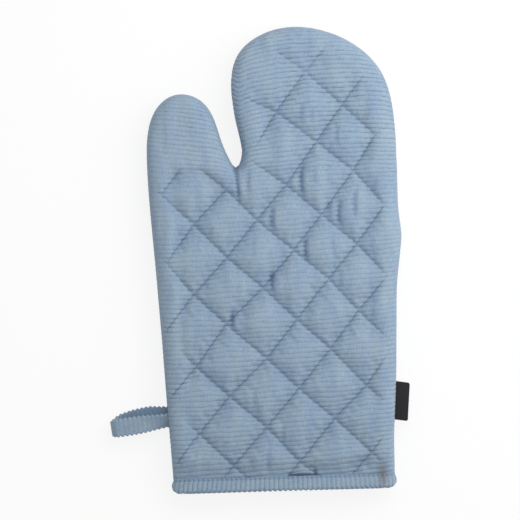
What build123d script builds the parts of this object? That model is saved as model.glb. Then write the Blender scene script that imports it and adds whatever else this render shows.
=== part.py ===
"""A quilted corduroy oven mitt, lying on its back panel with the thumb on the left.

Two panels, each a corduroy shell, a sheet of batting and a lining, meet at the side seam. A folded
binding closes the raw edges round the mouth, and a hanging loop and a blank tab are caught in the seam.
"""

import math
import os

from build123d import *

# Outline: distances out from the hand's centre line, and heights up from the cuff edge
mitt_length = 320.0
cuff_width = 150.0
hand_line_x = 16.4
thumb_bow_out = 94.6
thumb_bow_drop = 41.0
thumb_bow_radius = 42.0
thumb_tip_out = 69.7
thumb_tip_height = 273.8
thumb_tip_radius = 21.6
crotch_out = 32.8
crotch_height = 224.0
crotch_radius = 4.5
finger_left_out = 36.8
finger_left_radius = 38.0
finger_right_out = 75.4
finger_right_radius = 62.0
side_bow_out = 80.2
side_bow_height = 195.0
side_bow_radius = 100.0

# Cloth layers, from the pocket outwards
pocket_half_height = 5.4
lining_thickness = 0.6
crown_batting = 6.1
stitched_batting = 2.6
bound_batting = 0.7
shell_thickness = 1.0
layer_gap = 0.2

# Rounding of the panel's rim, and bevels of the hidden layers, of the bound edge and of the pocket
rim_radius = 10.0
hidden_bevel_share = 0.65
bound_bevel = 3.5
pocket_bevel = 3.0
rest_flat = 0.5

# Diamond quilting: two directions of stitching, each with its own pitch
quilt_x = -0.3
quilt_y = -19.7
rising_angle = 51.8
rising_pitch = 31.8
falling_angle = -41.9
falling_pitch = 33.3
channel_width = 1.2
plain_tip = 20.0
plain_thumb_height = 220.0
channel_fade = 12.0
hidden_row_facets = 2

# Sewing thread
thread_width = 0.8
thread_height = 0.5
thread_play = 0.1
seam_groove_depth = 0.6
seam_groove_half_height = 0.5
stitch_length = 3.0
stitch_pitch = 4.5
stitch_setback = 2.0
stitch_end_margin = 10.0

# Cuff binding
binding_height = 10.0
binding_thickness = 1.2
binding_fold = 0.8
binding_side_radius = 7.4

# Hanging loop, a strap folded back on itself
loop_height = 50.0
loop_reach = 39.4
loop_width = 13.0
strap_thickness = 2.4
loop_eye_radius = 4.0
loop_eye_start = 7.0
loop_eye_tip_radius = 0.3
loop_root_radius = 1.2
loop_floor_gap = 0.4

# Blank side tab, a ribbon folded double
tab_height = 63.5
tab_reach = 9.2
tab_width = 27.0
tab_thickness = 1.0

# Roots of the loop and the tab, seated in the seam
root_clearance = 0.3
loop_seat_depth = 0.5
tab_seat_depth = 0.3

# Heights above the seam plane and insets from the outline, summed from the layers
lining_top = pocket_half_height + lining_thickness
batting_floor = lining_top + layer_gap
skin = layer_gap + shell_thickness
crown_top = batting_floor + crown_batting + skin
channel_floor = batting_floor + stitched_batting + skin
bound_top = batting_floor + bound_batting + skin
binding_top = bound_top + layer_gap + binding_thickness
bound_inset = binding_thickness + layer_gap
batting_inset = bound_inset + skin + bound_batting
lining_inset = batting_inset + layer_gap
pocket_inset = lining_inset + lining_thickness

# A bevel whose corners stay inside the rounded rim
hidden_bevel = hidden_bevel_share * rim_radius

cuff_y = -mitt_length / 2
seam_height = crown_top - rest_flat
seam_plane = Plane.XY.offset(seam_height)
beyond = mitt_length

os.makedirs("parts", exist_ok=True)


def row_count(pitch: float) -> int:
    """How many rows of the quilting lie on each side of its middle, so that they cover the mitt."""
    return math.ceil(math.hypot(mitt_length, cuff_width) / 2 / pitch)


def hand_point(out: float, height: float) -> Vector:
    """A point of the plan, from its distance out from the hand line and height above the cuff."""
    return Vector(hand_line_x + out, cuff_y + height)


# The arcs that the outline turns round, clockwise: centre, and radius, negative where it is hollow
outline_rounds = [
    (hand_point(-cuff_width / 2, 0), 0.0),
    (
        hand_point(-thumb_bow_out + thumb_bow_radius, thumb_tip_height - thumb_bow_drop),
        thumb_bow_radius,
    ),
    (hand_point(-thumb_tip_out, thumb_tip_height - thumb_tip_radius), thumb_tip_radius),
    (hand_point(-crotch_out, crotch_height + crotch_radius), -crotch_radius),
    (
        hand_point(-finger_left_out + finger_left_radius, mitt_length - finger_left_radius),
        finger_left_radius,
    ),
    (
        hand_point(finger_right_out - finger_right_radius, mitt_length - finger_right_radius),
        finger_right_radius,
    ),
    (hand_point(side_bow_out - side_bow_radius, side_bow_height), side_bow_radius),
    (hand_point(cuff_width / 2, 0), 0.0),
]


def tangent_line(first: tuple, second: tuple) -> tuple:
    """The straight run between two rounds, as its two ends and its outward direction."""
    (start, start_radius), (end, end_radius) = first, second
    step = end - start
    lean = math.degrees(math.asin((start_radius - end_radius) / step.length))
    outward = step.normalized().rotate(Axis.Z, 90 - lean)
    return start + outward * start_radius, end + outward * end_radius, outward


def mitt_face(inset: float, start: float) -> Sketch:
    """The plan of the mitt, drawn in by inset all round, from start above the cuff edge."""
    rounds = [(centre, radius - inset) for centre, radius in outline_rounds]
    runs = [tangent_line(*pair) for pair in zip(rounds, rounds[1:])]
    left_foot = runs[0][0] + (runs[0][0] - runs[0][1]).normalized() * rim_radius
    right_foot = runs[-1][1] + (runs[-1][1] - runs[-1][0]).normalized() * rim_radius
    with BuildSketch() as plan:
        with BuildLine():
            Line(left_foot, runs[0][1])
            for (centre, radius), run, following in zip(rounds[1:], runs, runs[1:]):
                middle = centre + (run[2] + following[2]).normalized() * radius
                ThreePointArc(run[1], middle, following[0])
                if following is not runs[-1]:
                    Line(following[0], following[1])
            Line(runs[-1][0], right_foot)
            Line(right_foot, left_foot)
        make_face()
        with Locations((0, cuff_y + start)):
            Rectangle(beyond, beyond, align=(Align.CENTER, Align.MAX), mode=Mode.SUBTRACT)
    return plan.sketch


def panel_block(inset: float, height: float, start: float, edge: float, soften=chamfer, whole=False) -> Part:
    """A block on the seam plane, its rim softened by edge, and its cuff end too if whole is set."""
    with BuildPart() as block:
        with BuildSketch(seam_plane):
            add(mitt_face(inset, start))
        extrude(amount=height)
        rim = block.faces().sort_by(Axis.Z)[-1].edges().sort_by(Axis.Y)
        soften(rim if whole else rim[1:], edge)
    return block.part


def pillow_rows(angle: float, pitch: float, rounded: bool) -> Part:
    """A slab whose top is a run of puffed rows, parted by the flat channels of one direction."""
    along = Vector(1, 0).rotate(Axis.Z, angle)
    across = along.rotate(Axis.Z, 90)
    row_plane = Plane((quilt_x, quilt_y, seam_height), x_dir=across, z_dir=along)
    half_count = row_count(pitch)
    edge = half_count * pitch
    with BuildPart() as rows:
        with BuildSketch(row_plane):
            with BuildLine():
                for row in range(-half_count, half_count):
                    left = Vector(row * pitch, channel_floor)
                    foot = left + Vector(channel_width / 2, 0)
                    right = left + Vector(pitch, 0)
                    far_foot = right - Vector(channel_width / 2, 0)
                    crown = Vector((left.X + right.X) / 2, crown_top)
                    puff = ThreePointArc(foot, crown, far_foot, mode=Mode.PRIVATE)
                    Line(left, foot)
                    if rounded:
                        add(puff)
                    else:
                        Polyline(*(puff @ (step / hidden_row_facets) for step in range(hidden_row_facets + 1)))
                    Line(far_foot, right)
                Polyline((edge, channel_floor), (edge, 0), (-edge, 0), (-edge, channel_floor))
            make_face()
        extrude(amount=mitt_length, both=True)
    return rows.part


finger_quilt_end = cuff_y + mitt_length - plain_tip
thumb_quilt_end = cuff_y + plain_thumb_height
thumb_edge_x = hand_line_x - crotch_out


def fading_zone(left_x: float, end_y: float) -> Part:
    """A block from left_x to the right and up to end_y, where it slopes back so that channels fade out."""
    with BuildPart() as zone:
        with BuildSketch(Plane.YZ.offset(left_x)):
            with BuildLine():
                Polyline(
                    (-beyond, seam_height),
                    (end_y, seam_height),
                    (end_y, seam_height + channel_floor),
                    (end_y + channel_fade, seam_height + crown_top),
                    (end_y + channel_fade, seam_height + 2 * crown_top),
                    (-beyond, seam_height + 2 * crown_top),
                    close=True,
                )
            make_face()
        extrude(amount=beyond)
    return zone.part


finger_zone = fading_zone(thumb_edge_x, finger_quilt_end)
thumb_zone = fading_zone(thumb_edge_x - beyond, thumb_quilt_end)


def quilting_die(rounded: bool) -> Part:
    """The space above the pillows, with which a layer's channels are cut."""
    rising_rows = pillow_rows(rising_angle, rising_pitch, rounded)
    falling_rows = pillow_rows(falling_angle, falling_pitch, rounded)
    with BuildPart() as pillows:
        add(rising_rows)
        add(falling_rows, mode=Mode.INTERSECT)
    with BuildPart() as die:
        add(finger_zone)
        add(thumb_zone)
        add(pillows.part, mode=Mode.SUBTRACT)
    return die.part


def bound_edge(drop: float, start: float) -> Part:
    """One layer's flat edge that goes into the binding, drawn in by drop."""
    return panel_block(bound_inset + drop, bound_top - drop, start, bound_bevel)


outer_die = quilting_die(rounded=True)
hidden_die = quilting_die(rounded=False)


def hidden_block(drop: float, start: float) -> Part:
    """A layer's hidden outside, drawn in by drop from the shell's: quilted panel and bound edge."""
    panel = panel_block(drop, crown_top - drop, binding_height + drop, hidden_bevel, whole=True)
    edge = bound_edge(drop, start)
    with BuildPart() as block:
        add(panel)
        with Locations((0, 0, -drop)):
            add(hidden_die, mode=Mode.SUBTRACT)
        add(edge)
    return block.part


def seam_root_plane(run: tuple, height: float, standoff: float) -> Plane:
    """The cross-section plane of a piece rooted in a side seam: x outwards from it, y upwards."""
    start, end, outward = run
    share = (cuff_y + height - start.Y) / (end.Y - start.Y)
    root = start + (end - start) * share + outward * standoff
    return Plane((root.X, root.Y, seam_height), x_dir=outward, z_dir=outward.cross(Vector(0, 0, 1)))


def root_seat(plane: Plane, radius: float, width: float) -> Part:
    """A round seat in the seam, centred on the axis that a rooted piece swings about."""
    with BuildPart() as seat:
        with BuildSketch(plane):
            Circle(radius)
        extrude(amount=width / 2, both=True)
    return seat.part


loop_standoff = loop_root_radius + root_clearance - loop_seat_depth
tab_root_radius = tab_thickness / 2
tab_standoff = tab_root_radius + root_clearance - tab_seat_depth
left_run = tangent_line(outline_rounds[0], outline_rounds[1])
right_run = tangent_line(outline_rounds[-2], outline_rounds[-1])
loop_plane = seam_root_plane(left_run, loop_height, loop_standoff)
tab_plane = seam_root_plane(right_run, tab_height, tab_standoff)

loop_slot_radius = loop_root_radius + root_clearance
loop_slot_width = loop_width + 2 * root_clearance
tab_slot_radius = tab_root_radius + root_clearance
tab_slot_width = tab_width + 2 * root_clearance
loop_seat = root_seat(loop_plane, loop_slot_radius, loop_slot_width)
tab_seat = root_seat(tab_plane, tab_slot_radius, tab_slot_width)
loop_break = root_seat(loop_plane, loop_slot_radius + seam_groove_depth, loop_slot_width)
tab_break = root_seat(tab_plane, tab_slot_radius + seam_groove_depth, tab_slot_width)

outer_panel = panel_block(0, crown_top, binding_height, rim_radius, soften=fillet, whole=True)
outer_edge = bound_edge(0, bound_inset)

with BuildPart() as shell_outside:
    add(outer_panel)
    with BuildSketch(seam_plane):
        add(mitt_face(0, 0))
        add(mitt_face(seam_groove_depth, 0), mode=Mode.SUBTRACT)
    extrude(amount=seam_groove_half_height, mode=Mode.SUBTRACT)
    add(loop_seat, mode=Mode.SUBTRACT)
    add(tab_seat, mode=Mode.SUBTRACT)
    add(outer_die, mode=Mode.SUBTRACT)
    add(outer_edge)

shell_inside = hidden_block(shell_thickness, 0)
batting_outside = hidden_block(skin, bound_inset)
batting_inside = panel_block(batting_inset, batting_floor, 0, pocket_bevel)
lining_outside = panel_block(lining_inset, lining_top, bound_inset, pocket_bevel)
lining_inside = panel_block(pocket_inset, pocket_half_height, 0, pocket_bevel)

with BuildPart() as front_shell:
    add(shell_outside.part)
    add(shell_inside, mode=Mode.SUBTRACT)

with BuildPart() as back_shell:
    mirror(front_shell.part, about=seam_plane)
    split(bisect_by=Plane.XY, keep=Keep.TOP)

with BuildPart() as front_batting:
    add(batting_outside)
    add(batting_inside, mode=Mode.SUBTRACT)

with BuildPart() as back_batting:
    mirror(front_batting.part, about=seam_plane)

with BuildPart() as front_lining:
    add(lining_outside)
    add(lining_inside, mode=Mode.SUBTRACT)

with BuildPart() as back_lining:
    mirror(front_lining.part, about=seam_plane)


def cuff_sleeve(inset: float, half_height: float, start: float, edge: float, soften=chamfer) -> Part:
    """A slice of the flattened tube at the cuff, from start up to the binding's upper edge."""
    with BuildPart() as sleeve:
        with BuildSketch(seam_plane):
            add(mitt_face(inset, start))
            with Locations((0, cuff_y + binding_height)):
                Rectangle(beyond, beyond, align=(Align.CENTER, Align.MIN), mode=Mode.SUBTRACT)
        extrude(amount=half_height, both=True)
        rims = sleeve.faces().filter_by(Axis.Z).edges().filter_by(Axis.X, reverse=True)
        soften(rims, edge)
    return sleeve.part


# Binding: outer flap and fold, the slot that takes the panel edges, inner flap, and the mouth
flap_inset = pocket_inset + layer_gap
flap_top = pocket_half_height - layer_gap
binding_outside = cuff_sleeve(0, binding_top, 0, binding_side_radius, soften=fillet)
binding_slot = cuff_sleeve(binding_thickness, binding_top - binding_thickness, binding_thickness, bound_bevel)
inner_flap = cuff_sleeve(flap_inset, flap_top, 0, pocket_bevel)
mouth = cuff_sleeve(flap_inset + binding_thickness, flap_top - binding_thickness, 0, pocket_bevel)

with BuildPart() as cuff_binding:
    add(binding_outside)
    add(binding_slot, mode=Mode.SUBTRACT)
    add(inner_flap)
    add(mouth, mode=Mode.SUBTRACT)
    chamfer(cuff_binding.faces().sort_by(Axis.Y)[0].outer_wire().edges(), binding_fold)

stitch_count = int((cuff_width - 2 * stitch_end_margin) / stitch_pitch)
stitch_y = cuff_y + binding_height - stitch_setback

with BuildPart() as binding_thread:
    with BuildSketch(seam_plane.offset(binding_top)):
        with Locations((hand_line_x, stitch_y)):
            with GridLocations(stitch_pitch, stitch_pitch, stitch_count, 1):
                Rectangle(stitch_length, thread_width)
    extrude(amount=thread_height)
    mirror(about=seam_plane)

with BuildSketch() as stitched_zone:
    with Locations((thumb_edge_x, cuff_y)):
        Rectangle(beyond, finger_quilt_end - cuff_y, align=Align.MIN)
        Rectangle(beyond, thumb_quilt_end - cuff_y, align=(Align.MAX, Align.MIN))

with BuildPart() as front_quilting_thread:
    with BuildSketch(seam_plane.offset(channel_floor)):
        for angle, pitch in ((rising_angle, rising_pitch), (falling_angle, falling_pitch)):
            line_count = 2 * row_count(pitch) + 1
            with Locations(Location((quilt_x, quilt_y, 0), (0, 0, angle))):
                with GridLocations(pitch, pitch, 1, line_count):
                    Rectangle(2 * mitt_length, thread_width)
        add(stitched_zone.sketch, mode=Mode.INTERSECT)
        add(mitt_face(rim_radius, binding_height + rim_radius), mode=Mode.INTERSECT)
    extrude(amount=thread_height)

with BuildPart() as back_quilting_thread:
    mirror(front_quilting_thread.part, about=seam_plane)

with BuildPart() as side_seam_thread:
    with BuildSketch(seam_plane):
        add(mitt_face(thread_play, binding_height))
        add(mitt_face(seam_groove_depth - thread_play, binding_height), mode=Mode.SUBTRACT)
    extrude(amount=seam_groove_half_height - thread_play, both=True)
    add(loop_break, mode=Mode.SUBTRACT)
    add(tab_break, mode=Mode.SUBTRACT)

# The loop slopes down so that its fold comes to rest just above the table
fold_radius = loop_eye_radius + strap_thickness
fold_out = loop_reach - loop_standoff - fold_radius
fold_drop = seam_height - loop_floor_gap - fold_radius
eye_share = loop_eye_start / fold_out

with BuildSketch(loop_plane) as loop_eye:
    with Locations((fold_out, -fold_drop)):
        Circle(loop_eye_radius)
    with Locations((loop_eye_start, -fold_drop * eye_share)):
        Circle(loop_eye_tip_radius)
    make_hull()

with BuildPart() as hanging_loop:
    with BuildSketch(loop_plane):
        Circle(loop_root_radius)
        with Locations((fold_out, -fold_drop)):
            Circle(fold_radius)
        make_hull()
    extrude(amount=loop_width / 2, both=True)
    extrude(loop_eye.sketch, amount=loop_width / 2, both=True, mode=Mode.SUBTRACT)

with BuildPart() as side_tab:
    with BuildSketch(tab_plane):
        Circle(tab_root_radius)
        with Locations((tab_reach - tab_standoff - tab_root_radius, 0)):
            Circle(tab_root_radius)
        make_hull()
    extrude(amount=tab_width / 2, both=True)

pieces = {
    "front_shell": front_shell,
    "back_shell": back_shell,
    "front_batting": front_batting,
    "back_batting": back_batting,
    "front_lining": front_lining,
    "back_lining": back_lining,
    "cuff_binding": cuff_binding,
    "binding_thread": binding_thread,
    "front_quilting_thread": front_quilting_thread,
    "back_quilting_thread": back_quilting_thread,
    "side_seam_thread": side_seam_thread,
    "hanging_loop": hanging_loop,
    "side_tab": side_tab,
}
for name, piece in pieces.items():
    piece.part.label = name
    export_step(piece.part, f"parts/{name}.step")

print("loop axis", loop_plane.origin, loop_plane.z_dir)
print("tab axis", tab_plane.origin, tab_plane.z_dir)
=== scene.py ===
"""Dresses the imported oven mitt: quilted corduroy panels, bound cuff, hanging loop and blank tab.

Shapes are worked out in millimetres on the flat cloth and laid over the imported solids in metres.
"""

import logging
import math
from dataclasses import dataclass
from enum import Enum
from typing import Any, Union

import bpy
import numpy as np
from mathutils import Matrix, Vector
from mathutils.kdtree import KDTree


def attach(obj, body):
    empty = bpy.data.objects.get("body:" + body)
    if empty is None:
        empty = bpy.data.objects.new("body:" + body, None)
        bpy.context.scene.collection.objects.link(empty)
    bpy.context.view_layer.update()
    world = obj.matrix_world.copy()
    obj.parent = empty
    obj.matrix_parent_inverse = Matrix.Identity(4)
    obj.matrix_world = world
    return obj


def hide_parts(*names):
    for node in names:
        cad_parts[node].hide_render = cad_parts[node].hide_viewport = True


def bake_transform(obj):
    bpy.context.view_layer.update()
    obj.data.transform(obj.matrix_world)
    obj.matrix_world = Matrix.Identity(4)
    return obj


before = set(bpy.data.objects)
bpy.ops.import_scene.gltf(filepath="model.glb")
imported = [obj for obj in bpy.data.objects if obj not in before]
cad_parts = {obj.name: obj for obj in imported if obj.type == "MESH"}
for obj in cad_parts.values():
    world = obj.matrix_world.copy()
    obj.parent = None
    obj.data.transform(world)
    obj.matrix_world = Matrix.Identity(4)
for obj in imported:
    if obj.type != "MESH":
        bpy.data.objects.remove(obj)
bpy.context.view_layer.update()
LOG = logging.getLogger("oven_mitt")
MM = 0.001
Amount = Union[float, tuple[float, ...], np.ndarray]

# Height of the side seam, lower end of the shells, and the pitches of the wales and of the falling and
# rising lines of stitching.
SEAM_Z = 13.0
CUFF_Y = -160.0
WALE = 3.175
LINE_SPACING = (33.3, 31.8)
# Squareness of the turned edges, and how the corners of the mouth curl up beside the seam.
TURN_POWER = 3.2
CURL_REACH = 11.0
CURL_POWER = 2.4
# How the cuff's end slopes from its left corner, and the stretch over which the slope fades out.
CUFF_SLOPE = 0.0295
CUFF_LEFT_X = -58.0
CUFF_DROP = 1.25
CUFF_FADE = (-160, -30)


class Face(Enum):
    """The two sides of the mitt, as the sign of their direction along Z."""

    FRONT = 1
    BACK = -1


class Stitch(Enum):
    """Sorts of stitch: length, gap to the next and half the thread's thickness."""

    QUILTING = (2.2, 1.0, 0.17)
    SIDE_SEAM = (2.6, 0.8, 0.28)
    BINDING = (2.3, 1.0, 0.2)


def smooth(low: float, high: float, value: np.ndarray) -> np.ndarray:
    """A soft step from 0 at low to 1 at high."""
    t = np.clip((value - low) / (high - low), 0, 1)
    return t * t * (3 - 2 * t)


def above_cuff(low: float, high: float, plan: np.ndarray) -> np.ndarray:
    """A soft step from 0 at low to 1 at high above the end of the shells."""
    return smooth(CUFF_Y + low, CUFF_Y + high, plan[:, 1])


def bell(offset: np.ndarray, width: Amount, power: int = 2) -> np.ndarray:
    """1 in the middle, falling off over a width; a higher power squares its shoulders."""
    return np.exp(-(offset / width) ** power)


def curled(distance: np.ndarray) -> np.ndarray:
    """How far a corner of the mouth curls up, from 1 at the seam to 0 away from it."""
    return np.clip(1 - distance / CURL_REACH, 0, 1) ** CURL_POWER


def turned_edge(inset: Amount, turn: Amount, angle: np.ndarray) -> tuple[np.ndarray, np.ndarray]:
    """Depth inside the seam and share of the full height, at an angle round a turned edge."""
    power = 2 / TURN_POWER
    return inset + turn * (1 - np.cos(angle) ** power), np.sin(angle) ** power


def run_length(points: np.ndarray) -> np.ndarray:
    """Length along a run of points, from 0 at the first one."""
    return np.concatenate([[0], np.cumsum(np.linalg.norm(np.diff(points, axis=0), axis=1))])


def wale_ridge(count: np.ndarray) -> np.ndarray:
    """Height of the ribbed pile, 1 on a wale and 0 in the groove beside it."""
    return 1 - np.abs(2 * (count % 1.0) - 1) ** 2.6


def scallops(count: np.ndarray) -> np.ndarray:
    """Line of an edge cut across the wales: 0 on a wale and -1 in the groove beside it."""
    return np.abs(np.sin(np.pi * count)) ** 0.8 - 1


def tilted(plan: np.ndarray) -> np.ndarray:
    """Moves points of the straight pattern as the mitt lies, its cuff turned up a little on the right.

    Args:
        plan: points, one row each.

    Returns:
        The moved points.
    """
    lean = CUFF_SLOPE * (plan[:, 0] - CUFF_LEFT_X) - CUFF_DROP
    moved = plan.copy()
    moved[:, 1] += lean * (1 - smooth(*CUFF_FADE, plan[:, 1]))
    return moved


# Shading


class Value:
    """A shader socket, on which Python's operators add Math nodes."""

    def __init__(self, graph: "Graph", socket: bpy.types.NodeSocket) -> None:
        """Keeps the socket and the graph it belongs to."""
        self.graph = graph
        self.socket = socket

    def _math(self, operation: str, *values: Any) -> "Value":
        """Adds one Math node with the values as its inputs."""
        return self.graph.node("ShaderNodeMath", {"operation": operation}, dict(enumerate(values)))

    def __add__(self, other: Any) -> "Value":
        """self + other."""
        return self._math("ADD", self, other)

    __radd__ = __add__

    def __sub__(self, other: Any) -> "Value":
        """self - other."""
        return self._math("SUBTRACT", self, other)

    def __rsub__(self, other: Any) -> "Value":
        """other - self."""
        return self._math("SUBTRACT", other, self)

    def __mul__(self, other: Any) -> "Value":
        """self * other."""
        return self._math("MULTIPLY", self, other)

    __rmul__ = __mul__

    def __truediv__(self, other: Any) -> "Value":
        """self / other."""
        return self._math("DIVIDE", self, other)

    def __rtruediv__(self, other: Any) -> "Value":
        """other / self."""
        return self._math("DIVIDE", other, self)

    def __pow__(self, power: Any) -> "Value":
        """self to a power."""
        return self._math("POWER", self, power)

    def __abs__(self) -> "Value":
        """The size of self."""
        return self._math("ABSOLUTE", self)

    def __mod__(self, other: Any) -> "Value":
        """The part of self above a whole number of others."""
        return self._math("FLOORED_MODULO", self, other)

    def above(self, other: Any) -> "Value":
        """1 where self is greater than other, else 0."""
        return self._math("GREATER_THAN", self, other)

    def clamped(self) -> "Value":
        """self kept between 0 and 1."""
        return self._math("MINIMUM", self._math("MAXIMUM", self, 0.0), 1.0)

    def zigzag(self) -> "Value":
        """1 at whole numbers, falling evenly to 0 halfway between them."""
        return abs((self % 1.0) * 2.0 - 1.0)


Colour = tuple[float, float, float]
Input = Union[Value, float, tuple]


class Graph:
    """A node tree with one method that adds any node, and short ways to the common ones."""

    def __init__(self, tree: bpy.types.NodeTree) -> None:
        """Empties the tree and keeps it."""
        self.tree = tree
        tree.nodes.clear()

    def node(self, kind: str, settings: dict[str, Any], inputs: dict[Any, Input], output: Any = 0) -> Value:
        """Adds a node.

        Args:
            kind: the node's type.
            settings: properties to set first; "stops" is a colour ramp's run of (place, colour).
            inputs: values or links, by socket name or number.
            output: name or number of the socket to hand back.

        Returns:
            The chosen output.
        """
        made = self.tree.nodes.new(kind)
        for key, setting in settings.items():
            if key == "stops":
                ramp = made.color_ramp.elements
                while len(ramp) < len(setting):
                    ramp.new(1.0)
                for stop, (place, colour) in zip(ramp, setting):
                    stop.position = place
                    stop.color = (*colour, 1.0)
            else:
                setattr(made, key, setting)
        for key, value in inputs.items():
            socket = made.inputs[key]
            if isinstance(value, Value):
                self.tree.links.new(value.socket, socket)
            elif isinstance(value, tuple) and socket.type == "RGBA":
                socket.default_value = (*value, 1.0)
            else:
                socket.default_value = value
        return Value(self, made.outputs[output] if made.outputs else None)

    def uv_map(self, name: str) -> Value:
        """Coordinates from one of the piece's UV maps."""
        return self.node("ShaderNodeUVMap", {"uv_map": name}, {})

    def axis(self, vector: Value, number: int) -> Value:
        """One coordinate of a vector."""
        return self.node("ShaderNodeSeparateXYZ", {}, {0: vector}, number)

    def mark(self, name: str) -> Value:
        """A value kept at the piece's points, 0 on a piece without it."""
        return self.node("ShaderNodeAttribute", {"attribute_name": name}, {}, "Fac")

    def mix(self, share: Input, first: Input, second: Input, blend: str = "MIX") -> Value:
        """Mixes two colours: the first at share 0, the second at share 1."""
        settings = {"data_type": "RGBA", "blend_type": blend}
        return self.node("ShaderNodeMix", settings, {0: share, 6: first, 7: second}, 2)

    def noise(self, where: Input, scale: float, detail: float = 3.0, rough: float = 0.55) -> Value:
        """A noise value, near 0.5 on average, with its lumps per unit, octaves and their strength."""
        inputs = {"Vector": where, "Scale": scale, "Detail": detail, "Roughness": rough}
        return self.node("ShaderNodeTexNoise", {}, inputs, "Fac")


@dataclass(frozen=True)
class Grain:
    """A noise drawn out on the cloth: lumps per unit along it and across it, octaves and their strength."""

    along: float
    across: float
    detail: float
    rough: float = 0.55

    def on(self, graph: Graph, where: Value) -> Value:
        """The noise at coordinates of the cloth."""
        inputs = {"Vector": where, "Scale": (self.along, self.across, 1.0)}
        return graph.noise(graph.node("ShaderNodeMapping", {}, inputs), 1.0, self.detail, self.rough)


def new_material(name: str) -> tuple[bpy.types.Material, Graph]:
    """A material with an empty node tree.

    Args:
        name: the material's name.

    Returns:
        The material and its graph.
    """
    material = bpy.data.materials.new(name)
    material.use_nodes = True
    return material, Graph(material.node_tree)


def close_material(graph: Graph, colour: Value, height: Value, depth: float, **constants: Input) -> None:
    """Ends a cloth's graph with a bump and a Principled shader.

    Args:
        graph: the graph to end.
        colour: the surface's colour.
        height: the bump's height, from 0 to 1.
        depth: the bump's depth in metres.
        constants: further inputs of the shader, with underscores for spaces.
    """
    bump = graph.node("ShaderNodeBump", {}, {"Strength": 1.0, "Distance": depth, "Height": height})
    inputs = {key.replace("_", " "): value for key, value in constants.items()}
    inputs.update({"Base Color": colour, "Normal": bump})
    shader = graph.node("ShaderNodeBsdfPrincipled", {}, inputs)
    graph.node("ShaderNodeOutputMaterial", {}, {"Surface": shader})


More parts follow.
